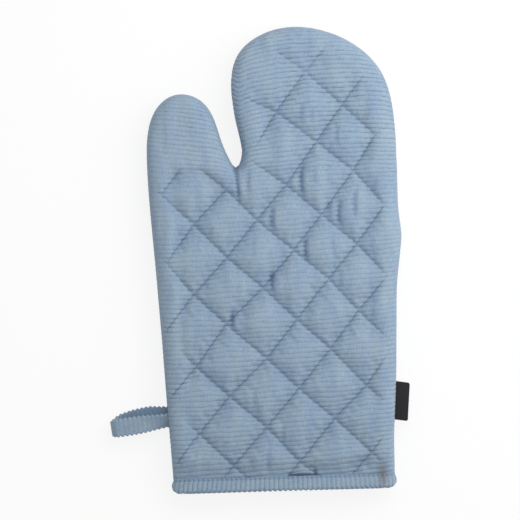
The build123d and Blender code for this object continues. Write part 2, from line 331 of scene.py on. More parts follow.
@dataclass(frozen=True)
class CorduroyFinish:
    """Ribbed cotton pile: colours of the wales, of worn places and of a scorch, and painted shade in the
    grooves between them, in sunken places and along the stitched lines.
    """

    name: str
    pile: Colour = (0.272, 0.362, 0.455)
    # Painted shade in the grooves between the wales.
    groove_shade: Colour = (0.14, 0.21, 0.31)
    worn: Colour = (0.322, 0.41, 0.468)
    cool: Colour = (0.24, 0.327, 0.45)
    # Painted shade in creases and sunken places.
    hollow: Colour = (0.15, 0.225, 0.335)
    # The darkest painted shade, in the deepest creases and along the stitched lines.
    thread: Colour = (0.06, 0.095, 0.16)
    scorch: Colour = (0.16, 0.145, 0.14)
    speckle: tuple[tuple[float, Colour], ...] = ((0.3, (0.79, 0.8, 0.82)), (0.7, (1.2, 1.2, 1.18)))
    fuzz: Grain = Grain(1.0, 3.2, 4.0, 0.7)
    tufts: Grain = Grain(2.0, 0.7, 2.0, 0.6)
    rubbing: Grain = Grain(0.045, 0.16, 3.0, 0.6)
    tint: Grain = Grain(0.11, 0.1, 2.0, 0.5)
    streaks: Grain = Grain(0.16, 0.9, 3.0, 0.65)
    # Share of the painted groove shade and depth of the bump; then the painted shade of the stitched lines:
    # its width, its strength on falling and rising lines, and how far the deeper groove shade reaches beside
    # them.
    groove_shade_share: float = 0.7
    pile_depth: float = 0.0004
    line_width: float = 0.75
    line_strength: tuple[float, float] = (0.52, 1.05)
    gather_width: float = 6.0

    def _sewn_lines(self, graph: Graph, fuzz: Value) -> tuple[Value, Value, Value]:
        """Reads where the quilting is sewn.

        Args:
            graph: the graph to add to.
            fuzz: the pile's fine grain, which roughens the lines.

        Returns:
            Shares of the painted shade along the stitched lines, of the deeper painted groove shade in the
            gathers beside them, and of their crossings, where the line shade is lighter.
        """
        lattice, reach = graph.uv_map("quilt"), graph.uv_map("reach")
        stitched, gathered, crossing = 0.0, 0.0, 1.0
        for axis, (spacing, strength) in enumerate(zip(LINE_SPACING, self.line_strength)):
            line = abs((graph.axis(lattice, axis) + 0.5) % 1.0 - 0.5) * spacing
            sewn = graph.axis(reach, axis) * strength
            near = (1.0 - line / self.gather_width).clamped()
            stitched = (1.0 - line * (1.5 - fuzz) / self.line_width).clamped() * sewn + stitched
            gathered = near * sewn + gathered
            crossing = near ** 2.0 * crossing
        return stitched, gathered, crossing

    def material(self) -> bpy.types.Material:
        """Builds the finish.

        Returns:
            A material that reads the cloth map, whose V counts wales, and the marks of the quilting.
        """
        material, graph = new_material(self.name)
        cloth = graph.uv_map("cloth")
        grains = (self.fuzz, self.tufts, self.rubbing, self.tint, self.streaks)
        fuzz, tufts, rubbing, tint, streaks = (grain.on(graph, cloth) for grain in grains)
        hollow, stain, flat = (graph.mark(name) for name in ("hollow", "stain", "rubbed_flat"))
        dip = graph.axis(cloth, 1).zigzag()
        stitched, gathered, crossing = self._sewn_lines(graph, fuzz)
        # How deep the painted groove shade is: uneven along streaks, less where the pile is rubbed flat, more
        # in the gathers beside the stitched lines.
        depth = (streaks * 5.0 - 1.8) * (1.0 - flat) + gathered * 0.9
        face = self.pile
        for share, colour in (
            (rubbing * 1.4 + streaks * 1.5 - 1.1, self.worn),
            (tint * 2.4 - 0.8, self.cool),
            # Painted shade in the grooves between the wales.
            (dip ** 6.0 * depth * self.groove_shade_share, self.groove_shade),
            # Painted shade in creases and sunken places, darkest where they are deepest.
            (hollow * (0.75 + 0.5 * fuzz), self.hollow),
            (hollow * 1.4 - 0.9, self.thread),
            # Painted shade along the stitched lines, lighter where they cross.
            (stitched * (0.2 + 1.3 * dip * streaks) * (1.0 - 0.7 * crossing), self.thread),
            (stain * (fuzz * 2.6 - 0.6), self.scorch),
        ):
            face = graph.mix(share.clamped(), face, colour)
        speck = fuzz * 0.5 + tufts * 0.5
        grain = graph.node("ShaderNodeValToRGB", {"stops": self.speckle}, {0: speck})
        close_material(
            graph, graph.mix(1.0, face, grain, "MULTIPLY"), speck * 0.8 + (1.0 - dip ** 3.0) * 0.3,
            self.pile_depth, Roughness=0.92, Specular_IOR_Level=0.2,
            Sheen_Weight=0.15, Sheen_Roughness=0.5, Sheen_Tint=(0.85, 0.9, 1.0),
        )
        return material


@dataclass(frozen=True)
class WeaveFinish:
    """A plain weave: two sets of threads, so many to a millimetre, that pass over and under each other."""

    name: str
    light: Colour
    dark: Colour
    threads: float
    depth: float
    slubs: Grain = Grain(0.12, 1.4, 3.0)
    patch_scale: float = 0.05

    def material(self) -> bpy.types.Material:
        """Builds the finish.

        Returns:
            A material that reads the cloth map in millimetres.
        """
        material, graph = new_material(self.name)
        cloth = graph.uv_map("cloth")
        along, across = (graph.axis(cloth, axis) * self.threads for axis in (0, 1))
        warp, weft = (1.0 - place.zigzag() ** 2.0 for place in (along, across))
        over = (((along * 0.5) % 1.0).above(0.5) + ((across * 0.5) % 1.0).above(0.5)) % 2.0
        lift = warp * over + weft * (1.0 - over)
        slub = self.slubs.on(graph, cloth)
        patch = graph.noise(cloth, self.patch_scale, 2.0)
        share = (lift * 0.6 + slub * 0.4 + patch * 0.3 - 0.15).clamped()
        close_material(graph, graph.mix(share, self.dark, self.light), lift * 0.8 + slub * 0.2, self.depth,
                       Roughness=0.85, Specular_IOR_Level=0.25)
        return material


@dataclass(frozen=True)
class WaddingFinish:
    """Needled cotton wadding: matted white fibres."""

    name: str
    fibre: Colour = (0.82, 0.8, 0.75)
    shade: Colour = (0.6, 0.58, 0.53)
    mat_scale: float = 350.0
    strands: Grain = Grain(250.0, 1400.0, 3.0)
    depth: float = 0.0008

    def material(self) -> bpy.types.Material:
        """Builds the finish.

        Returns:
            A material of matted fibres on object coordinates.
        """
        material, graph = new_material(self.name)
        where = graph.node("ShaderNodeTexCoord", {}, {}, "Object")
        mat = graph.noise(where, self.mat_scale, 5.0, 0.7)
        share = (mat * 0.6 + self.strands.on(graph, where) * 0.6 - 0.1).clamped()
        close_material(graph, graph.mix(share, self.shade, self.fibre), mat, self.depth,
                       Roughness=0.98, Specular_IOR_Level=0.1)
        return material


@dataclass(frozen=True)
class ThreadFinish:
    """Spun sewing thread, with the slant of its twist."""

    name: str
    light: Colour = (0.2, 0.285, 0.39)
    dark: Colour = (0.11, 0.17, 0.26)
    turns: float = 2.2
    depth: float = 0.0001

    def material(self) -> bpy.types.Material:
        """Builds the finish.

        Returns:
            A material that reads the cloth map: along the stitch and round it.
        """
        material, graph = new_material(self.name)
        cloth = graph.uv_map("cloth")
        twist = (graph.axis(cloth, 0) * self.turns + graph.axis(cloth, 1) * 2.0).zigzag()
        share = (twist * 0.7 + graph.noise(cloth, 3.0) * 0.3).clamped()
        close_material(graph, graph.mix(share, self.light, self.dark), 1.0 - twist, self.depth,
                       Roughness=0.7, Specular_IOR_Level=0.3)
        return material


# The flat pattern


class Outline:
    """The side seam in plan, from the left of the cuff round the thumb and fingers to the right."""

    MARKS = (
        (-58.7, -161.0), (-60.2, -141.8), (-64.4, -92.8), (-68.6, -42.0), (-72.9, 5.4), (-76.7, 47.1),
        (-77.9, 76.4), (-76.5, 91.0), (-72.7, 101.5), (-67.0, 108.8), (-60.1, 112.9), (-52.5, 113.9),
        (-44.1, 111.5), (-37.5, 106.4), (-32.1, 97.8), (-25.4, 78.6), (-19.3, 66.0), (-17.0, 63.8),
        (-15.4, 64.1), (-13.2, 68.8), (-12.6, 76.5), (-17.8, 100.4), (-19.9, 118.2), (-18.9, 131.5),
        (-15.5, 140.6), (-9.2, 148.2), (0.4, 154.7), (12.5, 159.0), (25.5, 160.3), (39.6, 158.6),
        (54.5, 153.7), (67.7, 146.2), (77.6, 137.3), (84.3, 127.5), (89.1, 114.6), (92.4, 94.9),
        (94.0, 67.0), (95.1, 35.9), (97.2, 17.9), (96.4, 5.6), (94.2, -17.1), (93.9, -49.4),
        (93.6, -84.6), (92.3, -121.7), (92.6, -145.9), (92.8, -161.0),
    )
    SPACING = 0.12

    def __init__(self) -> None:
        """Runs a smooth line through the marks and makes it searchable."""
        marks = np.array(self.MARKS)
        ends = np.vstack([2 * marks[0] - marks[1], marks, 2 * marks[-1] - marks[-2]])
        runs = []
        for k in range(len(marks) - 1):
            p0, p1, p2, p3 = ends[k:k + 4]
            reach = np.linalg.norm(p2 - p1)
            t = np.linspace(0, 1, max(2, int(reach / self.SPACING)), endpoint=False)[:, None]
            m1 = reach * (p2 - p0) / (np.linalg.norm(p1 - p0) + reach)
            m2 = reach * (p3 - p1) / (np.linalg.norm(p3 - p2) + reach)
            runs.append((2 * t**3 - 3 * t**2 + 1) * p1 + (t**3 - 2 * t**2 + t) * m1
                        + (3 * t**2 - 2 * t**3) * p2 + (t**3 - t**2) * m2)
        self.line = np.vstack([*runs, marks[-1:]])
        step = np.gradient(self.line, axis=0)
        step /= np.linalg.norm(step, axis=1)[:, None]
        self.outward = np.column_stack([-step[:, 1], step[:, 0]])
        self.tree = KDTree(len(self.line))
        for index, (x, y) in enumerate(self.line):
            self.tree.insert((x, y, 0), index)
        self.tree.balance()

    def measure(self, plan: np.ndarray) -> tuple[np.ndarray, np.ndarray]:
        """Measures points against the seam.

        Args:
            plan: points, one row each.

        Returns:
            The distance of each inside the seam, and the outward direction there.
        """
        nearest = np.fromiter((self.tree.find((x, y, 0))[1] for x, y in plan), int, len(plan))
        outward = self.outward[nearest]
        return ((self.line[nearest] - plan) * outward).sum(1), outward


@dataclass(frozen=True)
class Margins:
    """Depths inside the seam at which stitching starts and is full, for three stretches of the rim."""

    low_left: tuple[float, float]
    right: tuple[float, float]
    high_left: tuple[float, float]


class Quilting:
    """The crossing lines of stitching, which drift a little from an even lattice, and the puffs between."""

    ORIGIN = np.array((-0.26, -19.74))
    RISING = np.array((20.65, 26.23))
    FALLING = np.array((23.73, -21.28))
    DRIFT = {
        (-3, 1): (-3.1, 0.6), (-3, 2): (-3.5, -0.3), (-2, 0): (-2.3, -1.2), (-2, 1): (-3.2, 0.1),
        (-2, 2): (-1.3, 0.1), (-2, 3): (-2.3, -2.6), (-1, -2): (4.3, 1.2), (-1, -1): (-1.0, 0.7),
        (-1, 0): (-2.4, 2.0), (-1, 1): (1.8, -0.3), (-1, 2): (0.1, 0.4), (-1, 3): (0.9, 1.3),
        (-1, 4): (2.4, -0.5), (0, -2): (2.2, 1.5), (0, -1): (1.2, 0.1), (0, 0): (2.2, 0.7),
        (0, 1): (1.7, 0.3), (0, 2): (1.0, 1.6), (0, 3): (2.0, -2.4), (1, -2): (3.9, -0.8),
        (1, -1): (1.0, -0.4), (1, 0): (2.5, 0.2), (1, 1): (2.9, 2.1), (1, 2): (-0.5, 1.3),
        (2, -2): (-1.5, -6.0), (2, -1): (0.4, -2.6), (2, 0): (1.0, -1.5), (2, 1): (1.5, -0.3),
        (2, 2): (-1.1, -1.0), (3, -3): (-3.0, -11.0), (3, -2): (-3.2, 0.1), (3, -1): (0.6, 0.9),
        (3, 0): (2.2, 2.5), (4, -2): (-4.1, 1.5), (4, -1): (-2.6, -0.1), (4, 0): (-3.5, 0.7),
    }
    # Margins of the falling and of the rising lines, and of the puffs that they hold down.
    MARGINS = (Margins((8, 22), (4, 14), (4, 8)), Margins((1.5, 5), (4, 14), (7, 11)))
    HELD = Margins((8, 20), (7, 20), (8, 20))
    # Stretches of X or Y over which the stitching changes.
    RIGHT_X, HIGH_Y, TIPS_Y = (-40, 40), (-32, -20), (50, 80)
    THUMB_X, THUMB_Y = (-20, -14), (56, 66)
    INDEX_X, INDEX_Y = (6, 11), (113, 121)
    FADE_Y, END_Y = (110, 130), (140, 150)
    CROTCH, CROTCH_SIZE = (-19.5, 54), (6, 7)
    # Lattice lines, steps between two of them, and the cloth simulation.
    LOW = -5
    HIGH = 6
    STEPS = 11
    SIM_SCALE = 0.02
    FRAMES = 24
    CLOTH = {
        "quality": 6, "mass": 0.2, "tension_stiffness": 25, "compression_stiffness": 25, "shear_stiffness": 8,
        "bending_stiffness": 0.4, "air_damping": 2, "shrink_min": -0.05, "use_pressure": True,
        "uniform_pressure_force": 3.0,
    }

    def __init__(self) -> None:
        """Lays out the lattice and puffs the cloth between its lines."""
        size = self.HIGH - self.LOW + 1
        self.drift = np.zeros((size, size, 2))
        for i in range(size):
            for j in range(size):
                self.drift[i, j] = self._drift_at_crossing(i + self.LOW, j + self.LOW)
        self.inverse = np.linalg.inv(np.column_stack([self.RISING, self.FALLING]))
        self.puffs = self._inflate()

    def _drift_at_crossing(self, i: int, j: int) -> np.ndarray:
        """Finds how far a crossing lies from the even lattice.

        Args:
            i: number of the falling line.
            j: number of the rising line.

        Returns:
            Its measured drift, or the mean of its neighbours' where it wasn't measured.
        """
        if (i, j) in self.DRIFT:
            return np.array(self.DRIFT[i, j])
        near = [self.DRIFT[i + di, j + dj] for di in (-1, 0, 1) for dj in (-1, 0, 1)
                if (i + di, j + dj) in self.DRIFT]
        return np.mean(near, axis=0) if near else np.zeros(2)

    @staticmethod
    def _sample(table: np.ndarray, row: np.ndarray, column: np.ndarray) -> np.ndarray:
        """Reads a table between its entries.

        Args:
            table: values at whole rows and columns.
            row: where to read.
            column: where to read.

        Returns:
            One blended entry for each place.
        """
        row = np.clip(row, 0, table.shape[0] - 1.001)
        column = np.clip(column, 0, table.shape[1] - 1.001)
        i, j = row.astype(int), column.astype(int)
        s, t = (row - i)[:, None], (column - j)[:, None]
        return ((1 - s) * (1 - t) * table[i, j] + s * (1 - t) * table[i + 1, j]
                + (1 - s) * t * table[i, j + 1] + s * t * table[i + 1, j + 1])

    def place(self, a: np.ndarray, b: np.ndarray) -> np.ndarray:
        """Points of the plan for lattice coordinates: a counts falling lines, b rising ones."""
        drift = self._sample(self.drift, a - self.LOW, b - self.LOW)
        return self.ORIGIN + a[:, None] * self.RISING + b[:, None] * self.FALLING + drift

    def locate(self, plan: np.ndarray) -> tuple[np.ndarray, np.ndarray]:
        """Lattice coordinates of points of the plan.

        Args:
            plan: points, one row each.

        Returns:
            Their coordinates a and b.
        """
        ab = (plan - self.ORIGIN) @ self.inverse.T
        for _ in range(8):
            drift = self._sample(self.drift, ab[:, 0] - self.LOW, ab[:, 1] - self.LOW)
            ab = (plan - self.ORIGIN - drift) @ self.inverse.T
        return ab[:, 0], ab[:, 1]

    def _inflate(self) -> np.ndarray:
        """Puffs by cloth simulation: a roomy sheet, held along the stitching and blown up from below.

        Returns:
            For each lattice step, the cloth's shift along X and Y in millimetres and its rise, 1 at a crown.
        """
        steps = (self.HIGH - self.LOW) * self.STEPS
        bpy.ops.object.select_all(action="DESELECT")
        bpy.ops.mesh.primitive_grid_add(x_subdivisions=steps, y_subdivisions=steps, size=1)
        sheet = bpy.context.object
        count = len(sheet.data.vertices)
        flat = np.zeros(count * 3)
        sheet.data.vertices.foreach_get("co", flat)
        order = np.rint((flat.reshape(-1, 3)[:, :2] + 0.5) * steps).astype(int)
        a, b = order[:, 0] / self.STEPS + self.LOW, order[:, 1] / self.STEPS + self.LOW
        rest = np.column_stack([self.place(a, b), np.zeros(count)])
        start = rest.copy()
        start[:, 2] = 0.4 * np.abs(np.sin(np.pi * a) * np.sin(np.pi * b))
        sheet.data.vertices.foreach_set("co", (start * self.SIM_SCALE).ravel())
        held = sheet.vertex_groups.new(name="stitched")
        on_line = (order % self.STEPS == 0).any(1)
        held.add([int(v) for v in np.flatnonzero(on_line)], 1.0, "REPLACE")
        self._blow_up(sheet, held.name)
        sheet.data.vertices.foreach_get("co", flat)
        moved = flat.reshape(-1, 3) / self.SIM_SCALE - rest
        bpy.data.objects.remove(sheet)
        crowns = moved[(order % self.STEPS == self.STEPS // 2).all(1), 2]
        crown = np.median(crowns)
        LOG.info("puffed crowns: median %.2f mm, least %.2f, most %.2f", crown, crowns.min(), crowns.max())
        moved[:, 2] = np.clip(moved[:, 2] / crown, -0.2, 1.35)
        moved[:, :2] = np.clip(moved[:, :2], -2, 2)
        table = np.zeros((steps + 1, steps + 1, 3))
        table[order[:, 0], order[:, 1]] = moved
        return table

    def _blow_up(self, sheet: bpy.types.Object, held: str) -> None:
        """Runs the cloth simulation and applies it.

        Args:
            sheet: the active object.
            held: name of the vertex group that the stitching holds.
        """
        cloth = sheet.modifiers.new("puff", "CLOTH")
        for key, setting in self.CLOTH.items():
            setattr(cloth.settings, key, setting)
        cloth.settings.vertex_group_mass = held
        cloth.settings.effector_weights.gravity = 0
        cloth.collision_settings.use_collision = False
        scene = bpy.context.scene
        for number in range(1, self.FRAMES + 1):
            scene.frame_set(number)
        bpy.ops.object.modifier_apply(modifier=cloth.name)
        scene.frame_set(1)

    def jagged(self, a: np.ndarray, b: np.ndarray, count: np.ndarray) -> tuple[np.ndarray, np.ndarray]:
        """Lattice coordinates moved so that each line steps along the grooves and over the wales.

        Args:
            a: lattice coordinate.
            b: lattice coordinate.
            count: number of wales up to each place.

        Returns:
            The moved coordinates.
        """
        whole = np.floor(count)
        uneven = np.sin(whole * 2.3) + np.sin(whole * 5.1 + 1.0)
        step = 0.45 * np.sin(2 * np.pi * count) + 0.22 * uneven * np.sin(np.pi * (count - whole))
        return a + self.inverse[0, 1] * step, b + self.inverse[1, 1] * step

    def line_distance(self, a: np.ndarray, b: np.ndarray) -> np.ndarray:
        """Distances in millimetres from the nearest falling and the nearest rising line of stitching."""
        return np.column_stack([np.abs(c - np.rint(c)) * gap for c, gap in zip((a, b), LINE_SPACING)])

    def read(self, a: np.ndarray, b: np.ndarray) -> np.ndarray:
        """The puffs' shift and rise at lattice coordinates."""
        return self._sample(self.puffs, (a - self.LOW) * self.STEPS, (b - self.LOW) * self.STEPS)

    def stitched(self, plan: np.ndarray, depth: np.ndarray, margins: Margins) -> np.ndarray:
        """How far the stitching reaches: 1 inside, 0 near the rim, on the thumb and at the fingertips.

        Args:
            plan: points, one row each.
            depth: their depth inside the seam.
            margins: how near the rim it comes.

        Returns:
            Its share at each point.
        """
        x, y = plan[:, 0], plan[:, 1]
        right, high, tips = smooth(*self.RIGHT_X, x), smooth(*self.HIGH_Y, y), smooth(*self.TIPS_Y, y)
        start, full = margins.right
        left_rim = (1 - high) * smooth(*margins.low_left, depth) + high * smooth(*margins.high_left, depth)
        right_rim = (1 - tips) * smooth(start, full, depth) + tips * smooth(start + 5, full + 3, depth)
        rim = right * right_rim + (1 - right) * left_rim
        thumb = 1 - smooth(*self.THUMB_Y, y) * (1 - smooth(*self.THUMB_X, x))
        crotch = 1 - 0.85 * bell(plan - self.CROTCH, self.CROTCH_SIZE, 4).prod(1)
        index_side = 1 - smooth(*self.INDEX_Y, y) * (1 - smooth(*self.INDEX_X, x))
        fade = (1 - smooth(*self.END_Y, y)) * (1 - 0.45 * smooth(*self.FADE_Y, y))
        return rim * thumb * crotch * index_side * fade


class Crumple:
    """Uneven drape of the cloth: fixed soft noise, the pulled line of the wales and sewn-in puckers."""

    # Puckers as X, Y, half their length and depth; folds as X and Y of both ends and depth.
    PUCKERS = (
        (28.6, 55.0, 11.0, 1.25), (8.4, 28.5, 8.5, 1.0), (31.2, 7.6, 8.0, 1.15), (8.4, -14.5, 8.5, 1.2),
        (-18.7, -40.7, 7.0, 1.15), (47.4, 34.5, 5.5, 0.85), (54.3, 32.1, 9.0, 1.25),
        (16.2, -119.5, 8.0, 0.65), (-8.2, 53.5, 9.0, 0.8), (55.0, -13.0, 6.0, 0.5),
        (32.0, -38.0, 6.0, 0.6), (50.0, 11.5, 9.0, 0.55), (54.0, -57.0, 6.0, 0.4), (6.0, -59.0, 6.0, 0.5),
        (-17.0, 1.0, 6.0, 0.4), (30.0, -83.0, 6.0, 0.5), (76.0, 10.0, 6.0, 0.4), (-42.0, 18.0, 6.0, 0.3),
        (77.0, -35.0, 6.0, 0.4), (-16.0, -82.0, 6.0, 0.4), (52.5, 85.0, 7.0, 0.75),
        (28.1, 101.0, 7.0, 0.75), (53.0, -101.0, 6.0, 0.4), (-41.0, -64.0, 6.0, 0.3),
        (46.9, 59.5, 8.0, 0.35), (35.2, 99.0, 6.0, 0.65), (64.9, 38.2, 10.5, 0.95),
        (37.3, 57.9, 7.0, 0.55), (-4.6, 8.0, 9.0, 0.45), (-3.6, -95.0, 9.0, 0.5), (5.5, -138.0, 8.0, 0.5),
        (-5.0, -140.0, 7.0, 0.5), (-24.0, -16.0, 8.0, 0.4),
    )
    PUCKER_BOW = 0.1
    PUCKER_LEFT, PUCKER_RIGHT = 2.6, 1.5
    FOLDS = (
        (-16.8, 64.0, -14.2, 38.5, 1.5), (20.0, -147.4, 38.0, -146.6, 1.0), (38.2, -146.8, 37.6, -143.4, 1.0),
        (37.6, -143.4, 33.5, -139.5, 0.7), (-16.8, 62.5, -9.0, 66.0, 0.5), (-17.2, 62.0, -34.0, 57.5, 0.35),
    )
    FOLD_WIDTH = 1.2
    DEEPEST = 1.5
    # How far the wales are rubbed flat, by Y, and where the thumb's rubbing starts.
    RUBBED = ((-141, 0.14), (-79, 0.2), (0, 0.36), (44, 0.32), (65, 0.0), (106, -0.45))
    THUMB_X, THUMB_Y = (-34, -18), (25, 60)
    THUMB_RIM_X = (-62, -48)
    FINGERS_X = (-22, -12)
    STAIN, STAIN_SIZE = (84.2, -147.0), (3.2, 7.5)
    SEED = 11
    CELLS = 97

    def __init__(self) -> None:
        """Draws the noise from a fixed seed."""
        self.field = np.random.default_rng(self.SEED).random((self.CELLS, self.CELLS)) * 2 - 1

    def noise(self, x: np.ndarray, y: np.ndarray) -> np.ndarray:
        """Soft noise from -1 to 1 at places counted in cells.

        Args:
            x: place along the first side.
            y: place along the second side.

        Returns:
            The noise at each place.
        """
        i, j = np.floor(x).astype(int), np.floor(y).astype(int)
        s, t = smooth(0, 1, x - i), smooth(0, 1, y - j)
        near, far = i % self.CELLS, (i + 1) % self.CELLS
        low, high = j % self.CELLS, (j + 1) % self.CELLS
        return ((1 - s) * (1 - t) * self.field[near, low] + s * (1 - t) * self.field[far, low]
                + (1 - s) * t * self.field[near, high] + s * t * self.field[far, high])

    def wale_lift(self, cloth: np.ndarray) -> np.ndarray:
        """Finds how far the wales are pulled up from level.

        Args:
            cloth: places on the cloth, one row each.

        Returns:
            The lift in millimetres.
        """
        x, y = cloth[:, 0], cloth[:, 1]
        lift = 0.035 * x + 0.0002 * (x + 60) ** 2
        right = smooth(*self.FINGERS_X, x)
        pulled = -8.0 * np.exp(-(x + 20) / 14) - 0.001 * np.maximum(x - 30, 0) ** 2
        lift += smooth(35, 85, y) * right * pulled
        lift -= 0.14 * (x + 48) * smooth(35, 80, y) * (1 - right)
        return lift + 0.5 * self.noise(x / 19, y / 9) + 0.35 * self.noise(x / 7 + 40, y / 4)

    def dent(self, lay: np.ndarray) -> np.ndarray:
        """Depth of the puckers and of the short folds.

        Args:
            lay: points of the plan as the mitt lies, one row each.

        Returns:
            The depth, about 1 in a full pucker.
        """
        x, y = lay[:, 0], lay[:, 1]
        dent = np.zeros(len(lay))
        for px, py, half, strength in self.PUCKERS:
            off = x - px - self.PUCKER_BOW * (y - py) ** 2 / half
            wide = np.where(off < 0, self.PUCKER_LEFT, self.PUCKER_RIGHT)
            dent += strength * bell(off, wide) * bell(y - py, half, 4)
        for x0, y0, x1, y1, strength in self.FOLDS:
            start, run = np.array((x0, y0)), np.array((x1 - x0, y1 - y0))
            along = np.clip((lay - start) @ run / (run @ run), 0, 1)
            off = np.linalg.norm(lay - start - along[:, None] * run, axis=1)
            dent += strength * bell(off, self.FOLD_WIDTH) * (1 - 0.7 * smooth(0.6, 1.0, along))
        return np.clip(dent, 0, self.DEEPEST)

    def rubbed_flat(self, lay: np.ndarray) -> np.ndarray:
        """Finds how far the wales are rubbed flat: most on the thumb, below nothing at the fingertips.

        Args:
            lay: points of the plan as the mitt lies, one row each.

        Returns:
            The share at each point.
        """
        x, y = lay[:, 0], lay[:, 1]
        thumb = smooth(*self.THUMB_Y, y) * (1 - smooth(*self.THUMB_X, x))
        return np.interp(y, *zip(*self.RUBBED)) + (0.2 + 0.3 * (1 - smooth(*self.THUMB_RIM_X, x))) * thumb

    @classmethod
    def stain(cls, lay: np.ndarray) -> np.ndarray:
        """Share of a small scorched mark at the right of the cuff."""
        return bell(lay - cls.STAIN, cls.STAIN_SIZE).prod(1)

    def drape(self, lay: np.ndarray) -> np.ndarray:
        """Small upright folds and lumps of the padded cloth, from -1 to 1."""
        x, y = lay[:, 0], lay[:, 1]
        return (0.6 * self.noise(x / 5.5 + 0.5 * self.noise(x / 9, y / 14), y / 21 + 30)
                + 0.4 * self.noise(x / 11 + 60, y / 13))


@dataclass
class Sewing:
    """What shapes every layer: the side seam, the quilting and the cloth's uneven drape."""

    outline: Outline
    quilting: Quilting
    crumple: Crumple


# Meshes


@dataclass
class Surface:
    """A mesh while it is put together: points in millimetres, values at the points by name, and faces.

    A value with two columns becomes a UV map, one with a single column an attribute.
    """

    points: np.ndarray
    values: dict[str, np.ndarray]
    faces: list

    def turned(self) -> "Surface":
        """The same surface with its faces turned round."""
        return Surface(self.points, self.values, [face[::-1] for face in self.faces])

    def joined(self, other: "Surface") -> "Surface":
        """Puts both surfaces in one, without a bridge between them.

        Args:
            other: a surface with the same values.

        Returns:
            The new surface, with the other's points after its own.
        """
        offset = len(self.points)
        values = {name: np.concatenate([own, other.values[name]]) for name, own in self.values.items()}
        faces = self.faces + [tuple(v + offset for v in face) for face in other.faces]
        return Surface(np.vstack([self.points, other.points]), values, faces)

    def rim(self) -> list[int]:
        """Follows the open edge.

        Returns:
            A closed run of points, from the left of the cuff, which ends where it starts.
        """
        edges = dict.fromkeys(edge for face in self.faces for edge in zip(face, face[1:] + face[:1]))
        following = {a: b for a, b in edges if (b, a) not in edges}
        loose = list(following)
        run = [loose[np.argmin(self.points[loose] @ (1, 10, 0))]]
        while len(run) == 1 or run[-1] != run[0]:
            run.append(following[run[-1]])
        return run

    def _gap(self, first: int, second: int) -> float:
        """The distance between two points."""
        return float(np.linalg.norm(self.points[first] - self.points[second]))

    def lined(self, inner: "Surface") -> "Surface":
        """Closes this surface with an inner one, edge to edge.

        Args:
            inner: a surface just inside, whose faces point the same way.

        Returns:
            The closed layer.
        """
        both = self.joined(inner.turned())
        outer_run = self.rim()
        inner_run = [v + len(self.points) for v in inner.rim()]
        i, j = 0, 0
        last_outer, last_inner = len(outer_run) - 1, len(inner_run) - 1
        while i < last_outer or j < last_inner:
            a, b = outer_run[i], inner_run[j]
            ahead = both._gap(outer_run[i + 1], b) if i < last_outer else math.inf
            behind = both._gap(inner_run[j + 1], a) if j < last_inner else math.inf
            if ahead <= behind:
                i += 1
                both.faces.append((outer_run[i], a, b))
            else:
                j += 1
                both.faces.append((a, b, inner_run[j]))
        return both

    def to_object(self, name: str) -> bpy.types.Object:
        """Makes the Blender object.

        Args:
            name: the piece's name.

        Returns:
            The object, at the origin, smooth shaded, with its values as UV maps and attributes.
        """
        mesh = bpy.data.meshes.new(name)
        mesh.from_pydata((self.points * MM).tolist(), [], self.faces)
        mesh.polygons.foreach_set("use_smooth", np.ones(len(mesh.polygons), bool))
        corners = np.zeros(len(mesh.loops), np.int32)
        mesh.loops.foreach_get("vertex_index", corners)
        for key, value in self.values.items():
            if value.ndim == 2:
                mesh.uv_layers.new(name=key).data.foreach_set("uv", value[corners].ravel())
            else:
                made = mesh.attributes.new(key, "FLOAT", "POINT")
                made.data.foreach_set("value", value.astype(np.float32))
        piece = bpy.data.objects.new(name, mesh)
        bpy.context.scene.collection.objects.link(piece)
        return piece


def sweep(rings: np.ndarray, cloth: np.ndarray, closed: bool) -> Surface:
    """Joins rings of points into a tube.

    Args:
        rings: points by ring and by place round the ring.
        cloth: cloth coordinates, laid out alike.
        closed: whether the last ring joins the first; otherwise both ends are capped.

    Returns:
        The closed surface.
    """
    count, around = rings.shape[:2]
    number = np.arange(count * around).reshape(count, around)
    following = np.roll(number, -1, axis=0)
    if not closed:
        number, following = number[:-1], following[:-1]
    quads = np.stack([number, np.roll(number, -1, 1), np.roll(following, -1, 1), following], -1)
    faces = [tuple(quad) for quad in quads.reshape(-1, 4).tolist()]
    if not closed:
        faces += [tuple(range(around))[::-1], tuple(range((count - 1) * around, count * around))]
    values = {"cloth": cloth.reshape(-1, 2), "hollow": np.zeros(count * around)}
    return Surface(rings.reshape(-1, 3), values, faces)


def dress(piece: bpy.types.Object, material: bpy.types.Material, slot: str, *nodes: str) -> bpy.types.Object:
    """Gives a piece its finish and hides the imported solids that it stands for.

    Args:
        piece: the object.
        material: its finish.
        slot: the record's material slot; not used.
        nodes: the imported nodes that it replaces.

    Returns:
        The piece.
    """
    piece.data.materials.append(material)
    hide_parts(*nodes)
    LOG.info("%s: %d faces", piece.name, len(piece.data.polygons))
    return piece


# The panels


